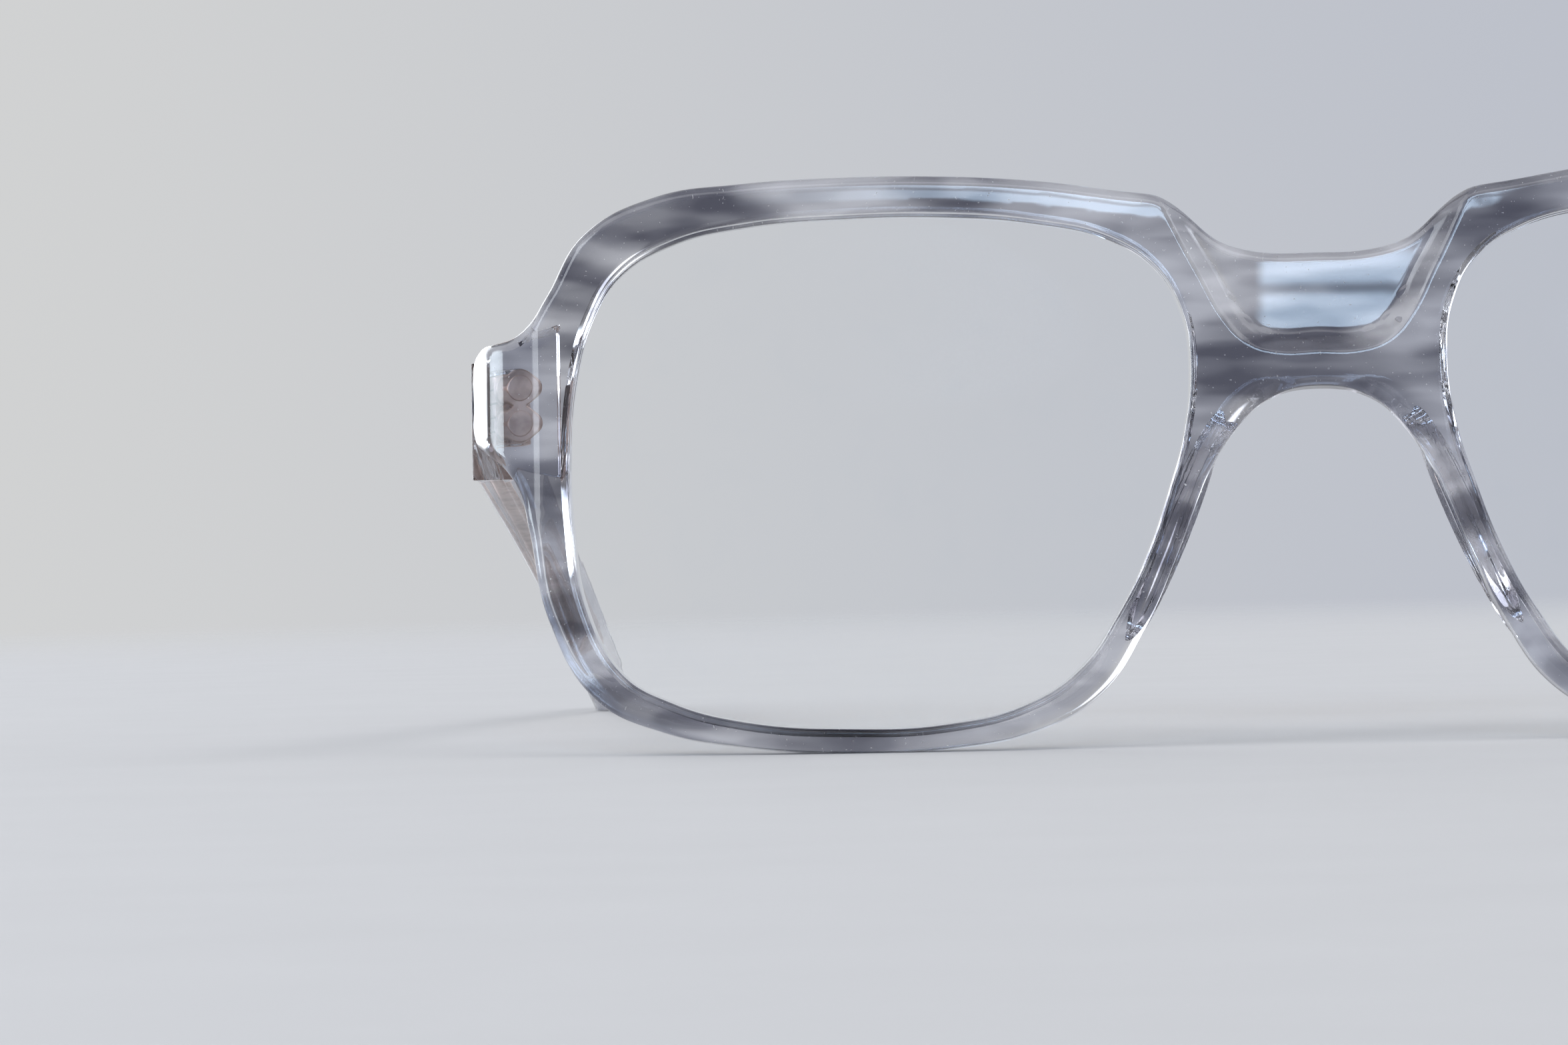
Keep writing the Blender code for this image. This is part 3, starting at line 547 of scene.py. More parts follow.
class Finish:
    """A material or a world that is being put together."""

    def __init__(self, holder):
        holder.use_nodes = True
        self.holder = holder
        self.tree = holder.node_tree
        self.tree.nodes.clear()

    def node(self, kind, settings=None, values=None):
        made = self.tree.nodes.new(kind)
        for key, value in (settings or {}).items():
            setattr(made, key, value)
        for key, value in (values or {}).items():
            socket = made.inputs[key]
            if isinstance(value, Sum):
                self.tree.links.new(value.socket, socket)
            else:
                socket.default_value = value
        return {out.name: Sum(self, out) for out in made.outputs}

    def mix(self, share, first, second):
        """A mix of two colours."""
        made = self.tree.nodes.new("ShaderNodeMix")
        made.data_type = "RGBA"
        colors = [socket for socket in made.inputs if socket.type == "RGBA"]
        for socket, value in ((made.inputs[0], share), (colors[0], first), (colors[1], second)):
            if isinstance(value, Sum):
                self.tree.links.new(value.socket, socket)
            else:
                socket.default_value = value if socket.type == "VALUE" else (*value, 1)
        return Sum(self, [out for out in made.outputs if out.type == "RGBA"][0])

    def noise(self, scale, stretch=(1, 1, 1), detail=2.0, roughness=0.5, shift=(0, 0, 0)):
        """Noise on the piece's own coordinates, with the scale in marks for each metre."""
        place = self.node("ShaderNodeTexCoord")["Object"]
        values = {"Vector": place, "Scale": stretch, "Location": shift}
        place = self.node("ShaderNodeMapping", None, values)["Vector"]
        values = {"Vector": place, "Scale": scale, "Detail": detail, "Roughness": roughness}
        return self.node("ShaderNodeTexNoise", None, values)

    def shade(self, values):
        shader = self.node("ShaderNodeBsdfPrincipled", None, values)["BSDF"]
        self.node("ShaderNodeOutputMaterial", None, {"Surface": shader})

    def bumped(self, height, strength, distance):
        values = {"Height": height, "Strength": strength, "Distance": distance}
        return self.node("ShaderNodeBump", None, values)["Normal"]


# %% [markdown]
# ## Smoky acetate
#
# Acetate sheet is pressed from slabs of slightly different grey, so level bands cross
# the front: some almost clear, some like smoke. The plastic is clear and polished, so
# the shader is a transmitting one with a low roughness, and the smoke is its base
# colour. The bands are noise that is stretched along x and squeezed along z. A weak,
# broad bump keeps the gloss from looking machined, and a few specks are dust.

# %% Mix the acetates
def acetate(name, clear, smoke, bands, weight, shift):
    finish = Finish(bpy.data.materials.new(name))
    broad = finish.noise(1.0, bands, 0.0, 0.45, shift)["Fac"]
    fine = finish.noise(1.0, tuple(2.2 * b for b in bands), 1.0, 0.4, shift)["Fac"]
    depth = broad.rise(0.40, 0.60) * weight + fine.rise(0.38, 0.62) * (1 - weight)
    color = finish.mix(depth, clear, smoke)
    specks = finish.noise(5200, (1, 1, 1), 0.0)["Fac"].rise(0.82, 0.85)
    color = finish.mix(specks, color, (0.93, 0.93, 0.92))
    wear = finish.noise(900, (1, 1, 1), 3.0)["Fac"].rise(0.45, 0.8)
    swell = finish.noise(70, (1, 1, 1), 1.0)["Fac"]
    finish.shade({
        "Base Color": color,
        "Roughness": 0.01 + wear * 0.02 + specks * 0.4,
        "Transmission Weight": 1.0,
        "IOR": 1.48,
        "Normal": finish.bumped(swell, 0.05, 0.0006),
    })
    return finish.holder


# Each has its clear and its smoky colour, the bands' scale along x, y and z, the broad
# bands' share of the whole, and a shift that picks the bands.
front_acetate = acetate(
    "smoky_acetate", (0.81, 0.812, 0.855), (0.14, 0.142, 0.18), (70, 50, 260), 0.66, (0.3, 0, 0.1),
)
temple_acetate = acetate(
    "temple_acetate", (0.80, 0.80, 0.84), (0.30, 0.30, 0.34), (60, 40, 170), 0.6, (0, 0.2, 0.4),
)
pad_acetate = acetate(
    "pad_acetate", (0.95, 0.945, 0.955), (0.88, 0.87, 0.89), (60, 60, 60), 0.8, (0, 0, 0),
)

# %% [markdown]
# ## The front
#
# The front is one plate with two openings. It follows a gentle face curve. Its bridge is
# hollowed in front by a scoop with a sloping floor, and its ends are cut off aslant and
# thickened behind, where the temples close. All of this goes into two depth functions.
# Smooth maxima and minima join the planes, so that the ridges stay crisp but not sharp,
# as tumbling leaves them.

# %% Depth of the front's two faces
SCOOP_DEPTH = 1.6 * MM
SCOOP_WALL = 1.6 * MM
SCOOP_FALL = (0.14, 0.057)
SCOOP_RADIUS = 60 * MM
SCOOP_FOOT = BRIDGE_TOP - BRIDGE_HEIGHT + 4.5 * MM
SCOOP_HEIGHT = 6.5 * MM
SCOOP_RISE = BRIDGE_TOP - SCOOP_FOOT
SCOOP_SHARES = (
    (0.0, 0.0), (0.3, 0.0), (0.47, 0.09), (0.604, 0.33), (0.78, 0.874), (0.936, 1.38), (1.16, 2.2),
)
FACET_START = Vector((68.2, 7.1)) * MM
FACET_TURN = Vector((71.0, 10.3)) * MM
FACET_BACK = Vector((72.8, 15.6)) * MM
FACET_SWELL = 0.16 * MM
LUG_BACK = 15.6 * MM
SEAT_BACK = 13.4 * MM
SEAT_SIDE = 69.45 * MM
LUG_ROOT = 64.2 * MM
LUG_EDGES = (((64.2, 37.7), (68.5, 36.3)), ((64.2, 24.3), (68.5, 25.5)))
LUG_FULL = 68.3 * MM
SHOULDER_START = 66.2 * MM
SHOULDER_SLOPE = 0.26
PILLOW_WIDTH = 2.3 * MM
PILLOW_DEPTH = 0.19 * MM
# Where the scoop is looked for, and where the pillow's fall fades out at the ends and at
# the bridge: the place where the fade starts, and its width.
SCOOP_ACROSS = 18 * MM
SCOOP_BELOW = 4 * MM
PILLOW_END = (62 * MM, 4 * MM)
PILLOW_BRIDGE = (10.5 * MM, 3.5 * MM)
PILLOW_BRIDGE_END = 14 * MM
# How far each ridge or step is softened.
FLOOR_SOFT = 0.4 * MM
LIP_SOFT = 0.25 * MM
SHOULDER_SOFT = 0.12 * MM
FACET_SOFT = 0.2 * MM
SIDE_SOFT = 0.25 * MM
ROOT_STEP = 0.3 * MM
LUG_STEP = 0.35 * MM
SEAT_STEP = 0.25 * MM

edge_tree = KDTree(len(front_edge) * 2)
for index, (x, z) in enumerate(spread(front_edge, EDGE_SPACING / 2)[: len(front_edge) * 2]):
    edge_tree.insert((x, z, 0), index)
edge_tree.balance()


def face_curve(across):
    return FACE_CURVE - np.sqrt(FACE_CURVE**2 - across**2)


scoop_half = [(a * HALF_BRIDGE, SCOOP_FOOT + b * SCOOP_HEIGHT) for a, b in SCOOP_SHARES]
scoop_line = through([(-x, z) for x, z in reversed(scoop_half[1:])] + scoop_half, closed=False)


def distance_to(points, line):
    """How far each point lies from an open line."""
    best = np.full(len(points), 1.0)
    for start, end in zip(line[:-1], line[1:]):
        along = end - start
        part = np.clip(((points - start) @ along) / (along @ along), 0, 1)
        gap = points - (start + part[:, None] * along)
        best = np.minimum(best, np.linalg.norm(gap, axis=1))
    return best


def from_scoop(points):
    """Distance outwards from the line round the scoop's floor; negative within it."""
    best = distance_to(points, scoop_line[::2])
    rim = np.interp(np.abs(points[:, 0]), [x for x, _ in scoop_half], [z for _, z in scoop_half])
    return np.where((points[:, 1] > rim) & (np.abs(points[:, 0]) < scoop_half[-1][0]), -best, best)


def scoop(points):
    depth = np.zeros(len(points))
    near = (np.abs(points[:, 0]) < SCOOP_ACROSS) & (points[:, 1] > SCOOP_FOOT - SCOOP_BELOW)
    here = points[near]
    if len(here):
        away = from_scoop(here)
        rise = np.maximum(here[:, 1] - SCOOP_FOOT, 0) / SCOOP_RISE
        floor = SCOOP_DEPTH + SCOOP_RISE * (SCOOP_FALL[0] * rise - SCOOP_FALL[1] * rise**2)
        floor -= here[:, 0] ** 2 / (2 * SCOOP_RADIUS)
        wall = SCOOP_DEPTH * (SCOOP_WALL - away) / SCOOP_WALL
        depth[near] = soft_max(soft_min(floor, wall, FLOOR_SOFT), 0.0, LIP_SOFT)
    return depth


def line_through(a, b, across):
    return a.y + (across - a.x) * (b.y - a.y) / (b.x - a.x)


def fade(distance, start, width):
    return np.clip((distance - start) / width, 0, 1)


def smooth_step(share, size=1):
    return size * share * share * (3 - 2 * share)


def pillow(points):
    """How far the face falls away towards the outer edge, except at the scoop and the ends."""
    away = np.array([edge_tree.find((x, z, 0))[2] for x, z in points])
    across = np.abs(points[:, 0])
    fall = PILLOW_DEPTH * np.maximum(0, 1 - away / PILLOW_WIDTH) ** 2
    bridge = (points[:, 1] > SCOOP_FOOT - SCOOP_BELOW) & (across < PILLOW_BRIDGE_END)
    inner = np.where(bridge, fade(across, *PILLOW_BRIDGE), 1)
    return fall * (1 - fade(across, *PILLOW_END)) * inner


def front_face(points):
    across = np.abs(points[:, 0])
    face = face_curve(across) + scoop(points) + pillow(points)
    gentle = face + SHOULDER_SLOPE * (across - SHOULDER_START)
    face = soft_max(face, gentle, SHOULDER_SOFT)
    along = (across - FACET_START.x) / (FACET_TURN.x - FACET_START.x)
    swell = FACET_SWELL * np.clip(4 * along * (1 - along), 0, 1)
    facet = line_through(FACET_START, FACET_TURN, across) - swell
    side = line_through(FACET_TURN, FACET_BACK, across)
    return soft_max(soft_max(face, facet, FACET_SOFT), side, SIDE_SOFT)


def lug_share(points):
    """1 on the thick end behind the rim, 0 elsewhere, with a steep soft step."""
    across = np.abs(points[:, 0])
    step = fade(across, LUG_ROOT, ROOT_STEP)
    for sign, ((x0, z0), (x1, z1)) in zip((1, -1), LUG_EDGES):
        edge = (z0 + (across / MM - x0) * (z1 - z0) / (x1 - x0)) * MM
        room = np.clip(sign * (edge - points[:, 1]) / LUG_STEP, 0, 1)
        step *= np.where(across > LUG_FULL, 1, room)
    return smooth_step(step)


def back_face(points):
    across = np.abs(points[:, 0])
    plain = face_curve(across) + FRONT_DEPTH
    thick = SEAT_BACK + smooth_step(fade(across, SEAT_SIDE, SEAT_STEP), LUG_BACK - SEAT_BACK)
    return plain + lug_share(points) * np.maximum(thick - plain, 0)


# %% [markdown]
# The broad faces get extra points where the depth changes fast: rows beside the scoop's
# line, beside the ridges of the slanted ends, and beside the steps behind them. A
# triangulation has no flow of its own, so without such rows the ridges would be ragged.

# %% Rows of points beside each ridge and step
ROW_SPACING = 0.3 * MM
LUG_ROW_SPACING = 0.25 * MM
END_SPAN = 9 * MM
SCOOP_OFFSETS = np.arange(-0.6, 2.3, 0.17) * MM
RIDGE_PLACES = np.arange(65.6, 72.8, 0.2) * MM
ROOT_OFFSETS = (-0.12, 0, 0.07, 0.15, 0.23, 0.3, 0.42)
SEAT_OFFSETS = (-0.12, 0, 0.06, 0.12, 0.19, 0.25, 0.37)
LUG_OFFSETS = (-0.12, 0, 0.08, 0.17, 0.26, 0.35, 0.47)


def rows_beside(line, offsets):
    """Copies of a line, moved sideways by each offset."""
    along = np.gradient(line, axis=0)
    along /= np.linalg.norm(along, axis=1)[:, None]
    side = np.column_stack([along[:, 1], -along[:, 0]])
    return np.vstack([line + side * offset for offset in offsets])


def both_sides(points):
    return np.vstack([points, points * (-1, 1)])


def upright(across):
    """A row of points up the frame's end."""
    zs = np.arange(HINGE_LEVEL - END_SPAN, HINGE_LEVEL + END_SPAN, ROW_SPACING)
    return np.column_stack([np.full(len(zs), across), zs])


scoop_rows = rows_beside(spread(scoop_line, ROW_SPACING, closed=False), SCOOP_OFFSETS)
ridge_rows = [upright(x) for x in RIDGE_PLACES]
step_rows = [upright(LUG_ROOT + x * MM) for x in ROOT_OFFSETS]
step_rows += [upright(SEAT_SIDE + x * MM) for x in SEAT_OFFSETS]
for sign, (start, end) in zip((1, -1), LUG_EDGES):
    line = spread(np.array([start, end]) * MM, LUG_ROW_SPACING, closed=False)
    step_rows.append(rows_beside(line, np.array(LUG_OFFSETS) * sign * MM))

# %% Make the front
EDGE_SOFT = 0.9 * MM
INNER_SOFT = 0.45 * MM
FRONT_SPACING = 0.75 * MM
# The back edge is rounder behind the scoop: places across, and the radius there.
BACK_PLACES = (0, 1.5, 3, 4.5, 6, 8, 10, 12)
BACK_SOFT = (1.0, 1.15, 1.7, 2.3, 2.4, 2.2, 1.5, 0.9)
NOSE_FADE = (22 * MM, 4 * MM)
UNDER_SCOOP = 12 * MM
GROOVE = tuple((inset * MM, depth * MM) for inset, depth in (
    (0.0, 1.18), (0.05, 1.25), (0.6, 1.78), (0.6, 2.02), (0.05, 2.55), (0.0, 2.62),
))
nose_side = np.interp(np.abs(front_edge[:, 0]) / MM, BACK_PLACES, BACK_SOFT) * MM
above_nose = fade(front_edge[:, 1], *NOSE_FADE)
under_scoop = (front_edge[:, 1] < SCOOP_FOOT) & (np.abs(front_edge[:, 0]) < UNDER_SCOOP)
back_soft = np.where(under_scoop, EDGE_SOFT + (nose_side - EDGE_SOFT) * above_nose, EDGE_SOFT)
loops = [(front_edge, rounded(EDGE_SOFT, arcs=10, behind=back_soft))]
loops += [(ring, rounded(INNER_SOFT, GROOVE, arcs=5)) for ring in openings.values()]
front_mesh = plate(
    "acetate_front", loops, front_face, back_face, FRONT_SPACING,
    np.vstack([scoop_rows, both_sides(np.vstack(ridge_rows))]),
    both_sides(np.vstack(step_rows)),
)
finish_mesh(front_mesh)
hand_over("acetate_front", front_mesh, "front_frame", "front", front_acetate)

# %% [markdown]
# ## Lenses
#
# The lenses are thin and without power, with a pointed edge that sits in the rim's
# groove. A modern coating takes away nearly all of their reflection, which a low index
# imitates, so that they stay almost unseen from the front but still catch the light
# aslant.

# %% Cut the lenses
LENS_THICKNESS = 1.6 * MM
LENS_SETBACK = 1.9 * MM
LENS_CROWN = 1.2 * MM
CROWN_REACH = 1.1
LENS_POINTS = 0.9 * MM
LENS_SPACING = 1.6 * MM
# From the face to the pointed edge: the inset in millimetres, and the share of the half
# thickness there.
LENS_PROFILE = ((0.5, 1), (0.15, 1), (0.1, 0.93), (-0.45, 0.16), (-0.5, 0.0))

lens_finish = Finish(bpy.data.materials.new("clear_lens"))
smear = lens_finish.noise(300, (1, 1, 1), 3.0)["Fac"].rise(0.5, 0.75)
lens_finish.shade({
    "Base Color": lens_finish.mix(smear, (0.985, 0.99, 0.99), (0.97, 0.98, 0.985)),
    "Roughness": 0.004 + smear * 0.01,
    "Transmission Weight": 1.0,
    "IOR": 1.05,
})


def lens_edge(points, inward, front, back):
    """A pointed edge: the middle of the lens reaches out into the groove."""
    found = []
    middle = (front(points) + back(points)) / 2
    for sign, profile in ((-1, LENS_PROFILE), (1, LENS_PROFILE[-2::-1])):
        for inset, half in profile:
            at = points + inward * inset * MM
            found.append((at, middle + sign * (back(at) - front(at)) / 2 * half))
    return found


def lens_middle(points):
    across = (np.abs(points[:, 0]) - LENS_MIDDLE) / (LENS_WIDTH / 2)
    up = (points[:, 1] - LENS_LEVEL) / (LENS_HEIGHT / 2)
    crown = np.maximum(0, 1 - (across**2 + up**2) / CROWN_REACH) ** 2
    return face_curve(points[:, 0]) + LENS_SETBACK - LENS_CROWN * crown


for side_name in SIDES:
    ring = spread(openings[side_name], LENS_POINTS)
    lens_mesh = plate(
        f"clear_lens_{side_name}", [(ring, lens_edge)],
        lambda points: lens_middle(points) - LENS_THICKNESS / 2,
        lambda points: lens_middle(points) + LENS_THICKNESS / 2, LENS_SPACING,
    )
    finish_mesh(lens_mesh)
    hand_over(
        f"clear_lens_{side_name}", lens_mesh, "front_frame", f"lens_{side_name}",
        lens_finish.holder,
    )

# %% [markdown]
# ## Nose pads
#
# Long, slim pads of clear acetate are glued behind the rims beside the nose. Each is a
# soft mound on a flat foot. A formula gives its rings: they shrink towards the top along
# an ellipse, and lean outwards as a nose does.

# %% Shape the nose pads
PAD_HALF_LENGTH = 10.75 * MM
PAD_HALF_WIDTH = 1.4 * MM
PAD_RISE = 5 * MM
PAD_ACROSS = 12.3 * MM
PAD_DROP = 11.52 * MM
PAD_LEVEL = BRIDGE_TOP - BRIDGE_HEIGHT - PAD_DROP
PAD_TURN = math.radians(23)
PAD_LEAN = 0.08
PAD_GAP = 0.04 * MM
PAD_SIDES = 56
# The foot's rings, as shares of the outline and of the rise, before the mound starts.
PAD_FOOT = ((0.6, 0.0), (0.93, 0.0), (1.0, 0.012))
PAD_ANGLES = np.linspace(0.06, math.pi / 2 - 0.05, 18)

for side_name, side in SIDES.items():
    around = np.linspace(0, 2 * math.pi, PAD_SIDES, endpoint=False)
    rings = []
    for scale, rise in [*PAD_FOOT, *((math.cos(a), math.sin(a)) for a in PAD_ANGLES)]:
        wide = PAD_HALF_WIDTH * scale * np.cos(around) + PAD_RISE * rise * PAD_LEAN
        long = PAD_HALF_LENGTH * scale * np.sin(around)
        x = PAD_ACROSS + wide * math.cos(PAD_TURN) - long * math.sin(PAD_TURN)
        z = PAD_LEVEL + wide * math.sin(PAD_TURN) + long * math.cos(PAD_TURN)
        y = face_curve(x) + FRONT_DEPTH + PAD_GAP + PAD_RISE * rise
        rings.append(np.column_stack([x, y, z]))
    points = np.vstack(rings + [rings[0].mean(0)[None], rings[-1].mean(0)[None]])
    top = (len(rings) - 1) * PAD_SIDES
    foot = top + PAD_SIDES
    faces = []
    for i in range(PAD_SIDES):
        j = (i + 1) % PAD_SIDES
        for low in range(0, top, PAD_SIDES):
            faces.append((low + i, low + j, low + PAD_SIDES + j, low + PAD_SIDES + i))
        faces += [(foot, j, i), (foot + 1, top + i, top + j)]
    pad_mesh = bpy.data.meshes.new("pad")
    pad_mesh.from_pydata([tuple(point) for point in points], [], faces)
    hand_over(
        f"clear_pad_{side_name}", mirrored(finish_mesh(pad_mesh), side), "front_frame",
        f"nose_pad_{side_name}", pad_acetate,
    )

# %% [markdown]
# ## Temples
#
# A temple is a flat bar that runs back level, drops behind the ear and ends in a rounded
# tip. It is a plate again, this time drawn from the side: its outline runs along y and
# z, and its depth is the thickness between the inner and the outer face. The cut end
# that meets the front stays crisp, and all other edges are soft.

# %% Shape the temples
BUTT = 15.9 * MM
TEMPLE_LENGTH = 128 * MM
TEMPLE_HEIGHT = 10.4 * MM
TEMPLE_LEVEL = HINGE_LEVEL - 0.4 * MM
TEMPLE_INNER = 69.2 * MM
TEMPLE_THICKNESS = 3.79 * MM
TIP_THICKNESS = 2.99 * MM
TEMPLE_SOFT = 1.0 * MM
BUTT_SOFT_SHARE = 0.18
BUTT_FADE = 1.6 * MM
BUTT_CLEAR = 0.45 * MM
BUTT_OVERRUN = 2 * MM
TEMPLE_POINTS = 0.5 * MM
TEMPLE_SPACING = 1.3 * MM
TURN_START = 0.6
TURN_IN = 0.3 * MM
# The temple rests on the surface at this share of its length, sunk in by a little.
REST_SHARE = 0.93
REST_HEIGHT_SHARE = 0.66
REST_SINK = 0.15 * MM
SPLAY = math.tan(math.radians(0.8))
TEMPLE_SHARES = (
    (0.08, 0.080, 0.95), (0.25, 0.240, 0.80), (0.45, 0.434, 0.69), (0.65, 0.639, 0.64),
    (0.80, 0.812, 0.65), (0.90, 0.940, 0.67), (0.96, 1.000, 0.57),
)
rest_back = BUTT + REST_SHARE * TEMPLE_LENGTH
rest_level = (rest_back * math.sin(LEAN) - SET_UP - REST_SINK) / math.cos(LEAN)
rest_level += REST_HEIGHT_SHARE * TEMPLE_HEIGHT / 2
knots = [(0.0, 0.0)] + [(along, fall) for along, fall, _ in TEMPLE_SHARES] + [(1.0, 1.0)]
DROP = (TEMPLE_LEVEL - rest_level) / np.interp(REST_SHARE, *zip(*knots))

upper = [(BUTT - BUTT_OVERRUN, TEMPLE_LEVEL + TEMPLE_HEIGHT / 2)]
lower = [(BUTT - BUTT_OVERRUN, TEMPLE_LEVEL - TEMPLE_HEIGHT / 2)]
for along, fall, height in TEMPLE_SHARES:
    middle = TEMPLE_LEVEL - fall * DROP
    upper.append((BUTT + along * TEMPLE_LENGTH, middle + height * TEMPLE_HEIGHT / 2))
    lower.append((BUTT + along * TEMPLE_LENGTH, middle - height * TEMPLE_HEIGHT / 2))
tip = (BUTT + TEMPLE_LENGTH, TEMPLE_LEVEL - DROP)
side_line = through(upper + [tip] + lower[::-1], closed=False)
side_line = side_line[side_line[:, 0] > BUTT + BUTT_CLEAR]
side_line = spread(side_line, TEMPLE_POINTS, closed=False)
side_line = np.vstack([[BUTT, side_line[0, 1]], side_line, [BUTT, side_line[-1, 1]]])
butt_line = spread(side_line[[-1, 0]], TEMPLE_POINTS, closed=False)[1:-1]
temple_ring = np.vstack([side_line, butt_line])
from_butt = (temple_ring[:, 0] - BUTT) / BUTT_FADE
temple_soft = TEMPLE_SOFT * np.clip(from_butt, BUTT_SOFT_SHARE, 1)


def temple_inner(points):
    along = (points[:, 0] - BUTT) / TEMPLE_LENGTH
    turned = np.maximum(0, (along - TURN_START) / (1 - TURN_START))
    return TEMPLE_INNER + SPLAY * along * TEMPLE_LENGTH - TURN_IN * turned**2


def temple_outer(points):
    along = (points[:, 0] - BUTT) / TEMPLE_LENGTH
    return temple_inner(points) + TEMPLE_THICKNESS + along * (TIP_THICKNESS - TEMPLE_THICKNESS)


FROM_THE_SIDE = Matrix(((0, 1, 0, 0), (1, 0, 0, 0), (0, 0, 1, 0), (0, 0, 0, 1)))
for side_name, side in SIDES.items():
    bar = plate(
        f"temple_bar_{side_name}", [(temple_ring, rounded(temple_soft))], temple_inner,
        temple_outer, TEMPLE_SPACING,
    )
    turned_over(bar, FROM_THE_SIDE)
    finish_mesh(mirrored(bar, side))
    hand_over(
        f"temple_bar_{side_name}", bar, f"{side_name}_temple", f"temple_{side_name}",
        temple_acetate,
    )

# %% [markdown]
# ## Metals
#
# The hinges are nickel silver, a warm grey alloy that dulls a little. The screws are
# plain steel. Both are metallic shaders whose roughness varies, with a fine bump that
# runs across the part like the marks of a turning tool.

# %% Mix the metals
def metal(name, bright, dull, stretch, rough):
    finish = Finish(bpy.data.materials.new(name))
    stain = finish.noise(700, (1, 1, 1), 3.0)["Fac"].rise(0.4, 0.68)
    marks = finish.noise(2500, stretch, 2.0)["Fac"]
    finish.shade({
        "Base Color": finish.mix(stain, bright, dull),
        "Metallic": 1.0,
        "Roughness": rough + marks * 0.12 + stain * 0.1,
        "Normal": finish.bumped(marks, 0.05, 0.00002),
    })
    return finish.holder


nickel_silver = metal(
    "nickel_silver", (0.78, 0.63, 0.56), (0.58, 0.45, 0.39), (0.3, 0.3, 4.0), 0.26,
)
screw_steel = metal("screw_steel", (0.68, 0.68, 0.69), (0.50, 0.49, 0.48), (1.0, 1.0, 1.0), 0.2)

# %% [markdown]
# ## Hinge barrels by Geometry Nodes
#
# A hinge repeats one shape: a barrel with a web that joins it to its leaf, at every
# other level. So one barrel is made as a plate, and a small node tree stacks copies of
# it. The tree has named inputs for the count and the pitch. It ends by making the copies
# real and giving them their metal, because copies that are only references are lost in
# an export. The evaluated result is then kept as a plain mesh.

# %% A node tree that stacks copies
ENDING = {
    "given": "NodeGroupInput",
    "real": "GeometryNodeRealizeInstances",
    "finish": "GeometryNodeSetMaterial",
    "result": "NodeGroupOutput",
}
ENDING_LINKS = (
    ("given", "Metal", "finish", "Material"),
    ("real", "Geometry", "finish", "Geometry"),
    ("finish", "Geometry", "result", "Geometry"),
)


def new_tree(name, inputs, kinds, links):
    """A node tree and its inputs' identifiers. A link is an output and an input, by name."""
    tree = bpy.data.node_groups.new(name, "GeometryNodeTree")
    ids = {}
    tree.interface.new_socket("Geometry", in_out="INPUT", socket_type="NodeSocketGeometry")
    for label, kind in {**inputs, "Metal": "NodeSocketMaterial"}.items():
        ids[label] = tree.interface.new_socket(label, in_out="INPUT", socket_type=kind).identifier
    tree.interface.new_socket("Geometry", in_out="OUTPUT", socket_type="NodeSocketGeometry")
    nodes = {label: tree.nodes.new(kind) for label, kind in {**ENDING, **kinds}.items()}
    for source, output, target, socket in links + ENDING_LINKS:
        tree.links.new(nodes[source].outputs[output], nodes[target].inputs[socket])
    return tree, ids


def grown(data, tree, ids, values):
    """Runs a node tree on a mesh or curve and keeps the result as a plain mesh."""
    holder = placed("grown", data)
    modifier = holder.modifiers.new("grown", "NODES")
    modifier.node_group = tree
    for label, value in values.items():
        modifier[ids[label]] = value
    return evaluated(holder)


barrel_stack = new_tree(
    "stacked_barrels",
    {"Count": "NodeSocketInt", "Pitch": "NodeSocketFloat"},
    {
        "line": "GeometryNodeMeshLine",
        "offset": "ShaderNodeCombineXYZ",
        "copies": "GeometryNodeInstanceOnPoints",
    },
    (
        ("given", "Count", "line", "Count"),
        ("given", "Pitch", "offset", "Z"),
        ("offset", "Vector", "line", "Offset"),
        ("line", "Mesh", "copies", "Points"),
        ("given", "Geometry", "copies", "Instance"),
        ("copies", "Instances", "real", "Geometry"),
    ),
)

# %% [markdown]
# ## Hinge leaves
#
# The front leaf is held in the acetate by two round lobes, which can be seen through the
# end of the frame. The temple leaf is a plate with two round corners, let into the
# temple's inner face. Every flat piece is a plate with a slight rounding on its edges.

# %% Make the hinge leaves
AXIS = Vector((67.4, 16.2)) * MM
BARREL = 1.4 * MM
HOLE = 0.72 * MM
BARREL_COUNT = 5
BARREL_HEIGHT = 1.1 * MM
BARREL_PITCH = 1.22 * MM
BARREL_GAP = 0.12 * MM
HINGE_LOW = HINGE_LEVEL - (BARREL_COUNT * BARREL_PITCH - BARREL_GAP) / 2
METAL_SOFT = 0.09 * MM
METAL_SPACING = 1.2 * MM
METAL_SHARP = 30

# The webs between the barrels and their leaves.
WEB_HALF = 0.7 * MM
WEB_FRONT = 12.85 * MM
WEB_SIDE = 69.6 * MM
WEB_BACK = 18.3 * MM
WEB_BEHIND = 0.25 * MM
WEB_BESIDE = 0.3 * MM

# The front leaf's two lobes, with a raised boss on each, and its root.
LOBE = 1.65 * MM
LOBE_DEPTH = 1.2 * MM
LOBE_OFFSET = 1.55 * MM
LOBE_SOFT = 0.14 * MM
LOBE_OVERLAP = 0.05 * MM
BOSS = 1.15 * MM
BOSS_RISE = 0.14 * MM
BOSS_FOOT = 0.3 * MM
BOSS_SOFT = 0.1 * MM
ROOT_CORNERS = np.array([(66.7, 27.95), (68.1, 27.95), (68.1, 33.85), (66.7, 33.85)]) * MM
ROOT_AHEAD = 0.6 * MM
ROOT_TO_AXIS = 1.75 * MM

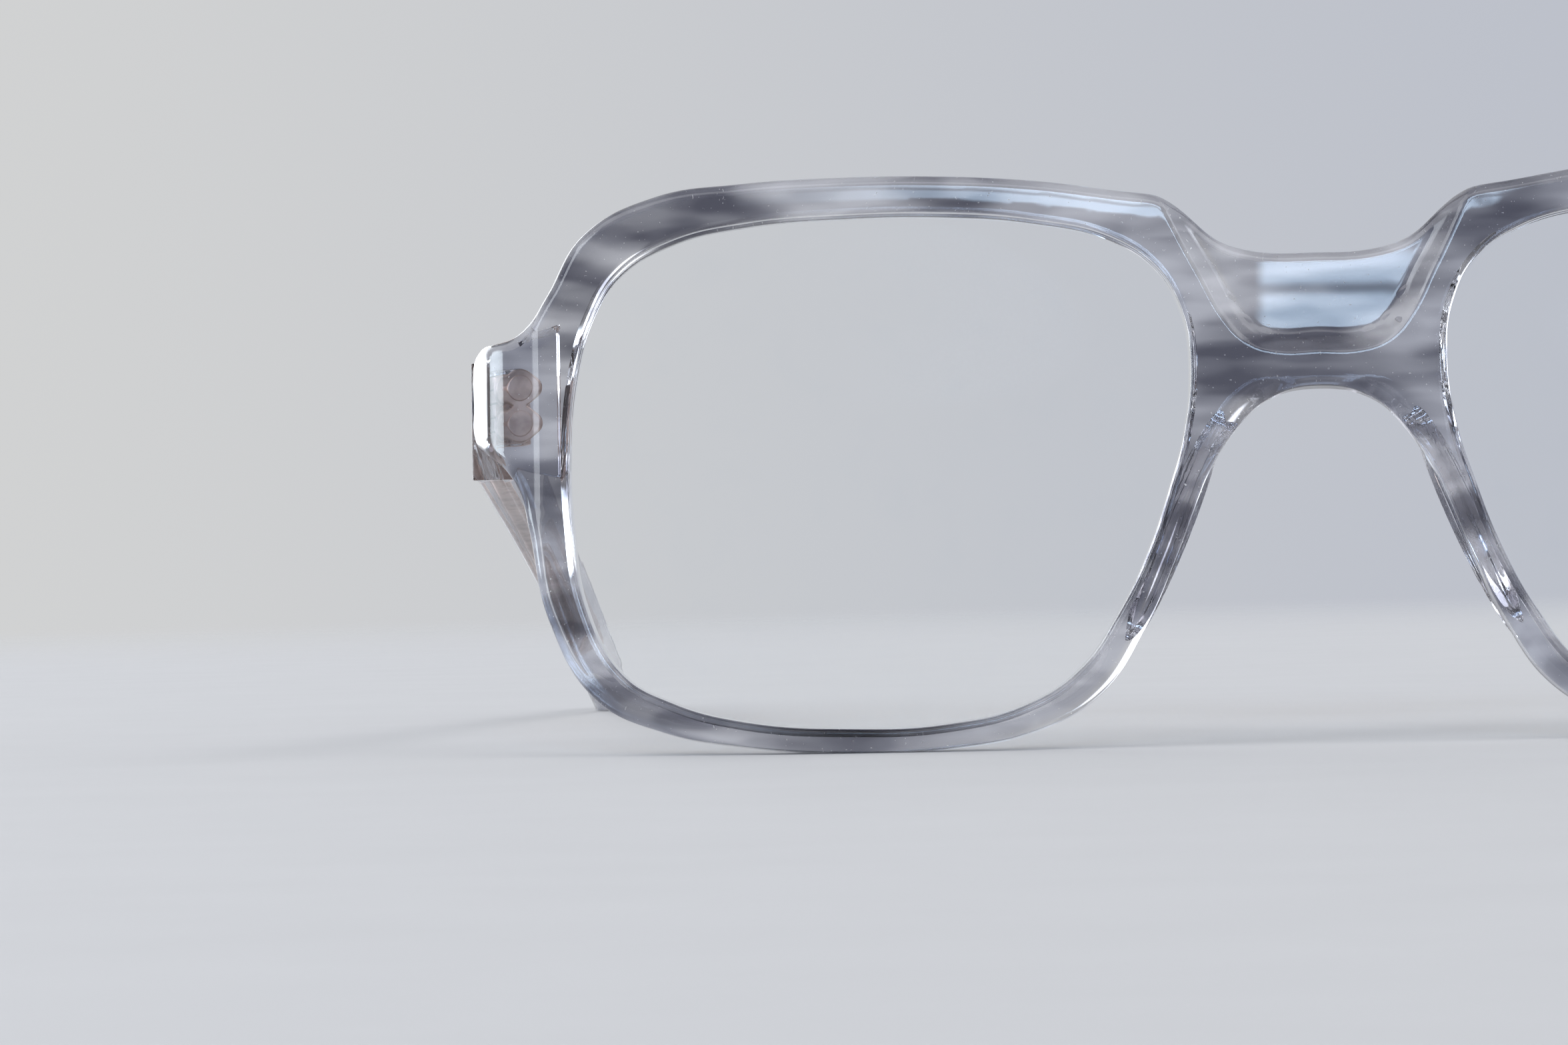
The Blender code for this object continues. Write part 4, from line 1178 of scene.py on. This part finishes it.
# The temple leaf, which stands a little proud of the temple's inner face.
LEAF_START = BUTT + 0.6 * MM
LEAF_END = LEAF_START + 8.5 * MM
LEAF_HALF = 3.3 * MM
LEAF_CORNER = 1.6 * MM
LEAF_CORNER_UP = 1.7 * MM
LEAF_PROUD = 0.04 * MM
LEAF_DEPTH = 0.8 * MM
LAID_FLAT = Matrix(((1, 0, 0, 0), (0, 0, 1, 0), (0, 1, 0, 0), (0, 0, 0, 1)))


def arc(x, y, radius, start, end, steps):
    angles = np.radians(np.linspace(start, end, steps))
    return np.column_stack([x + radius * np.cos(angles), y + radius * np.sin(angles)])


def flat_piece(name, rings, low, high, soft=METAL_SOFT):
    """A flat metal piece between two depths."""
    made = plate(
        name, [(ring, rounded(soft, arcs=3)) for ring in rings],
        lambda points: np.full(len(points), low), lambda points: np.full(len(points), high),
        METAL_SPACING,
    )
    return finish_mesh(made, METAL_SHARP)


def barrels(web, first, count):
    """Stacked barrels, each with the same web towards its leaf."""
    hole = arc(*AXIS, HOLE, 0, 360, 37)[:-1]
    one = flat_piece("barrel", [web, hole], HINGE_LOW, HINGE_LOW + BARREL_HEIGHT)
    turned_over(one, LAID_FLAT)
    one.transform(Matrix.Translation((0, 0, first * BARREL_PITCH)))
    values = {"Count": count, "Pitch": 2 * BARREL_PITCH, "Metal": nickel_silver}
    return grown(one, *barrel_stack, values)


def joined(name, parts):
    bm = bmesh.new()
    for part in parts:
        bm.from_mesh(part)
    return mesh_from(bm, name)


def lobes(radius, front_depth):
    """Two discs in one, with the outline of an eight."""
    waist = math.degrees(math.asin(min(1, LOBE_OFFSET / radius)))
    upper = arc(AXIS.x, HINGE_LEVEL + LOBE_OFFSET, radius, 4 - waist, 176 + waist, 34)
    lower = arc(AXIS.x, HINGE_LEVEL - LOBE_OFFSET, radius, 184 - waist, 356 + waist, 34)
    ring = np.vstack([upper, lower])
    return flat_piece("lobes", [ring], front_depth, SEAT_BACK + LOBE_OVERLAP, LOBE_SOFT)


def boss(level):
    """The raised middle of a lobe."""
    ring = arc(AXIS.x, level, BOSS, 0, 360, 41)[:-1]
    depth = SEAT_BACK - LOBE_DEPTH
    return flat_piece("boss", [ring], depth - BOSS_RISE, depth + BOSS_FOOT, BOSS_SOFT)


front_web = np.vstack([
    arc(*AXIS, BARREL, -60, 240, 46),
    [(AXIS.x - WEB_HALF, WEB_FRONT), (AXIS.x + WEB_HALF, WEB_FRONT)],
])
temple_web = np.vstack([
    arc(*AXIS, BARREL, 90, 370, 46),
    [(WEB_SIDE, AXIS.y + WEB_BEHIND), (WEB_SIDE, WEB_BACK), (AXIS.x + WEB_BESIDE, WEB_BACK)],
])
leaf_ring = np.vstack([
    [(LEAF_START, HINGE_LEVEL + LEAF_HALF), (LEAF_START, HINGE_LEVEL - LEAF_HALF)],
    arc(LEAF_END - LEAF_CORNER, HINGE_LEVEL - LEAF_CORNER_UP, LEAF_CORNER, -90, 0, 10),
    arc(LEAF_END - LEAF_CORNER, HINGE_LEVEL + LEAF_CORNER_UP, LEAF_CORNER, 0, 90, 10),
])

for side_name, side in SIDES.items():
    parts = [
        lobes(LOBE, SEAT_BACK - LOBE_DEPTH),
        boss(HINGE_LEVEL + LOBE_OFFSET),
        boss(HINGE_LEVEL - LOBE_OFFSET),
        flat_piece("root", [ROOT_CORNERS], SEAT_BACK - ROOT_AHEAD, AXIS.y - ROOT_TO_AXIS),
        barrels(front_web, 0, 3),
    ]
    leaf = mirrored(joined(f"front_leaf_{side_name}", parts), side)
    hand_over(
        f"front_leaf_{side_name}", leaf, "front_frame", f"front_hinge_leaf_{side_name}",
        nickel_silver,
    )
    inlay = flat_piece("inlay", [leaf_ring], TEMPLE_INNER - LEAF_PROUD, TEMPLE_INNER + LEAF_DEPTH)
    parts = [turned_over(inlay, FROM_THE_SIDE), barrels(temple_web, 1, 2)]
    leaf = mirrored(joined(f"temple_leaf_{side_name}", parts), side)
    hand_over(
        f"temple_leaf_{side_name}", leaf, f"{side_name}_temple", f"temple_hinge_leaf_{side_name}",
        nickel_silver,
    )

# %% [markdown]
# ## Screws
#
# Each hinge turns on a small slotted screw. Its profile is spun about the axis, with a
# slightly domed head, and a thin block then cuts the slot for the screwdriver.

# %% Turn the screws
SCREW = 0.6 * MM
SCREW_TIP_SHARE = 0.85
SCREW_CHAMFER = 0.1 * MM
SCREW_SIDES = 40
HEAD = 1.1 * MM
HEAD_HEIGHT = 0.6 * MM
HEAD_EDGE = 0.05 * MM
HEAD_SIDE_SHARE = 0.55
HEAD_DOME_SHARE = 0.45
HEAD_LEVEL = HINGE_LOW + BARREL_COUNT * BARREL_PITCH - 0.02 * MM
SLOT = (4 * MM, 0.3 * MM, 0.7 * MM, 1)
SLOT_LEVEL = HEAD_LEVEL + HEAD_HEIGHT + 0.05 * MM


def screw_profile():
    """Radius and level from the tip of the screw to the top of its domed head."""
    side = [(0, HINGE_LOW), (SCREW * SCREW_TIP_SHARE, HINGE_LOW)]
    side += [(SCREW, HINGE_LOW + SCREW_CHAMFER), (SCREW, HEAD_LEVEL)]
    side += [(HEAD - HEAD_EDGE, HEAD_LEVEL), (HEAD, HEAD_LEVEL + HEAD_EDGE)]
    shoulder_level = HEAD_LEVEL + HEAD_HEIGHT * HEAD_SIDE_SHARE
    return side + [
        (HEAD * math.cos(a), shoulder_level + HEAD_HEIGHT * HEAD_DOME_SHARE * math.sin(a))
        for a in np.linspace(0, math.pi / 2, 8)
    ]


def slotted_screw(name):
    bm = bmesh.new()
    verts = [bm.verts.new((r, 0, z)) for r, z in screw_profile()]
    edges = [bm.edges.new(pair) for pair in zip(verts, verts[1:])]
    bmesh.ops.spin(
        bm, geom=verts + edges, cent=(0, 0, 0), axis=(0, 0, 1), angle=2 * math.pi,
        steps=SCREW_SIDES, use_merge=True, use_duplicate=False,
    )
    bmesh.ops.remove_doubles(bm, verts=bm.verts, dist=WELD)
    bmesh.ops.recalc_face_normals(bm, faces=bm.faces)
    holder = placed("screw", mesh_from(bm, name))
    bm = bmesh.new()
    bmesh.ops.create_cube(bm, size=1, matrix=Matrix.Diagonal(SLOT))
    cutter = placed("block", mesh_from(bm, "block"))
    cutter.location = (0, 0, SLOT_LEVEL)
    cut = holder.modifiers.new("slot", "BOOLEAN")
    cut.operation = "DIFFERENCE"
    cut.solver = "EXACT"
    cut.object = cutter
    slotted = evaluated(holder)
    bpy.data.objects.remove(cutter)
    slotted.transform(Matrix.Translation((AXIS.x, AXIS.y, 0)))
    return slotted


for side_name, side in SIDES.items():
    name = f"slotted_screw_{side_name}"
    screw = finish_mesh(mirrored(slotted_screw(name), side), METAL_SHARP)
    hand_over(name, screw, "front_frame", f"hinge_screw_{side_name}", screw_steel)

# %% [markdown]
# ## Core wires
#
# A thin metal wire runs inside each temple and stiffens it. It follows the temple's
# middle line, so a node tree sweeps a circle along that path, which keeps the radius as
# a named input.

# %% Sweep the core wires
WIRE_RADIUS = 0.6 * MM
WIRE_SIDES = 20
WIRE_PLACES = np.linspace(0.006, 0.78, 60)
# The wire runs between the temple's two faces, at these shares of the inner and the outer.
INNER_SHARE = 0.43
OUTER_SHARE = 0.57

swept_wire = new_tree(
    "swept_wire",
    {"Radius": "NodeSocketFloat", "Sides": "NodeSocketInt", "Caps": "NodeSocketBool"},
    {"circle": "GeometryNodeCurvePrimitiveCircle", "sweep": "GeometryNodeCurveToMesh"},
    (
        ("given", "Radius", "circle", "Radius"),
        ("given", "Sides", "circle", "Resolution"),
        ("given", "Caps", "sweep", "Fill Caps"),
        ("given", "Geometry", "sweep", "Curve"),
        ("circle", "Curve", "sweep", "Profile Curve"),
        ("sweep", "Mesh", "real", "Geometry"),
    ),
)
wire_back = BUTT + WIRE_PLACES * TEMPLE_LENGTH
wire_falls = through(knots, closed=False)
wire_level = TEMPLE_LEVEL - DROP * np.interp(WIRE_PLACES, wire_falls[:, 0], wire_falls[:, 1])
flat_path = np.column_stack([wire_back, wire_level])
wire_across = temple_inner(flat_path) * INNER_SHARE + temple_outer(flat_path) * OUTER_SHARE
for side_name, side in SIDES.items():
    curve = bpy.data.curves.new("wire", "CURVE")
    curve.dimensions = "3D"
    spline = curve.splines.new("POLY")
    spline.points.add(len(WIRE_PLACES) - 1)
    for point, x, y, z in zip(spline.points, wire_across, wire_back, wire_level):
        point.co = (x, y, z, 1)
    values = {"Radius": WIRE_RADIUS, "Sides": WIRE_SIDES, "Caps": True, "Metal": nickel_silver}
    wire = finish_mesh(mirrored(grown(curve, *swept_wire, values), side))
    hand_over(
        f"core_wire_{side_name}", wire, f"{side_name}_temple", f"temple_core_{side_name}",
        nickel_silver,
    )

# %% [markdown]
# ## Floor and light
#
# Clear plastic shows what is around it, so an even white room would leave it flat. The
# room here is pale low down behind the object and darker elsewhere, with soft boxes in
# it: the two panes of a window behind the camera, tall strips to its left and right, one
# box far to the left, one at the left rear and one overhead. The back edges bend the one
# at the left rear towards the camera. The camera itself sees only the pale wall, so no
# box shows beside the object from any side. The floor fades out with distance, so that
# no hard horizon cuts through the openings.

# %% Lay the floor
FLOOR_RADIUS = 2.0
FLOOR_SIDES = 96
FLOOR_DROP = 0.03 * MM
FLOOR_FADE = (0.35, 1.1)

bm = bmesh.new()
bmesh.ops.create_circle(bm, cap_ends=True, segments=FLOOR_SIDES, radius=FLOOR_RADIUS)
bmesh.ops.translate(bm, verts=bm.verts, vec=(0, 0, -FLOOR_DROP))
floor = placed("floor", mesh_from(bm, "floor"))

stone = Finish(bpy.data.materials.new("pale_floor"))
place = stone.node("ShaderNodeTexCoord")["Object"]
reach = stone.node("ShaderNodeVectorMath", {"operation": "LENGTH"}, {0: place})["Value"]
grain = stone.noise(60, (1, 1, 1), 4.0)["Fac"]
plain = stone.node("ShaderNodeBsdfPrincipled", None, {
    "Base Color": stone.mix(grain, (0.66, 0.65, 0.645), (0.70, 0.69, 0.685)), "Roughness": 0.8,
})["BSDF"]
nothing = stone.node("ShaderNodeBsdfTransparent")["BSDF"]
values = {0: reach.rise(*FLOOR_FADE), 1: plain, 2: nothing}
blend = stone.node("ShaderNodeMixShader", None, values)["Shader"]
stone.node("ShaderNodeOutputMaterial", None, {"Surface": blend})
floor.data.materials.append(stone.holder)

# %% Light the room
world = bpy.data.worlds.new("studio")
bpy.context.scene.world = world
room = Finish(world)
look = room.node("ShaderNodeTexCoord")["Generated"]
parts = room.node("ShaderNodeSeparateXYZ", None, {0: look})
x, y, z = parts["X"], parts["Y"], parts["Z"]

# The walls. Here x, y and z say how far a look goes to the right, to the back and up.
pale = room.mix(x.rise(-0.28, 0.18), (0.645, 0.650, 0.650), (0.500, 0.525, 0.590))
walls = room.mix((0 - y).rise(0.2, 0.7), pale, (0.42, 0.43, 0.46))
rear = y.rise(-0.15, 0.25)
dark = z.rise(0.16, 0.34) * (1 - rear) + z.rise(0.62, 0.92) * rear
lit = room.mix(dark, walls, (0.13, 0.13, 0.145))

# The boxes of light, each with its place and its colour.
window = (0 - y).rise(0.55, 0.62) * x.rise(-0.36, -0.10) * (1 - x.rise(0.155, 0.185))
panes = z.band(0.292, 0.362, 0.012) + z.band(0.388, 0.470, 0.012)
panes = window * (panes * 0.7 + z.band(0.29, 0.475, 0.02) * 0.3)
tall = z.band(-0.05, 0.62, 0.04) * (0 - y).rise(0.05, 0.10)
left_strip = tall * x.band(-0.80, -0.64, 0.015)
right_strip = tall * x.band(0.80, 0.93, 0.02)
far_left = (0 - x).rise(0.86, 0.94) * y.band(-0.02, 0.40, 0.05) * (1 - z.rise(0.12, 0.34))
rear_left = x.band(-0.74, -0.26, 0.06) * y.rise(0.4, 0.6) * z.band(-0.15, 0.40, 0.06)
above = z.band(0.62, 0.86, 0.04) * y.band(-0.7, 0.1, 0.08)
for box, color in (
    (panes, (7.2, 9.4, 12.0)),
    (left_strip, (5.0, 5.3, 5.6)),
    (right_strip, (1.7, 1.8, 1.95)),
    (far_left, (6.4, 7.2, 7.8)),
    (rear_left, (3.6, 3.75, 3.9)),
    (above, (2.2, 2.2, 2.25)),
):
    lit = room.mix(box, lit, color)

seen = room.node("ShaderNodeLightPath")["Is Camera Ray"]
values = {"Color": room.mix(seen, lit, pale), "Strength": 1.0}
background = room.node("ShaderNodeBackground", None, values)["Background"]
room.node("ShaderNodeOutputWorld", None, {"Surface": background})

# %% [markdown]
# Light inside the clear plastic bounces many times before it comes out, so the limits on
# bounces are raised. The plain view transform keeps the colours as they were mixed.

# %% Settings for clear plastic
CLEAR_BOUNCES = 24
OTHER_BOUNCES = 16

cycles = bpy.context.scene.cycles
cycles.max_bounces = CLEAR_BOUNCES
cycles.transmission_bounces = CLEAR_BOUNCES
cycles.glossy_bounces = OTHER_BOUNCES
cycles.transparent_max_bounces = OTHER_BOUNCES
cycles.use_denoising = True
bpy.context.scene.view_settings.view_transform = "Standard"
bpy.context.scene.view_settings.look = "None"

# %% Update the scene
bpy.context.view_layer.update()
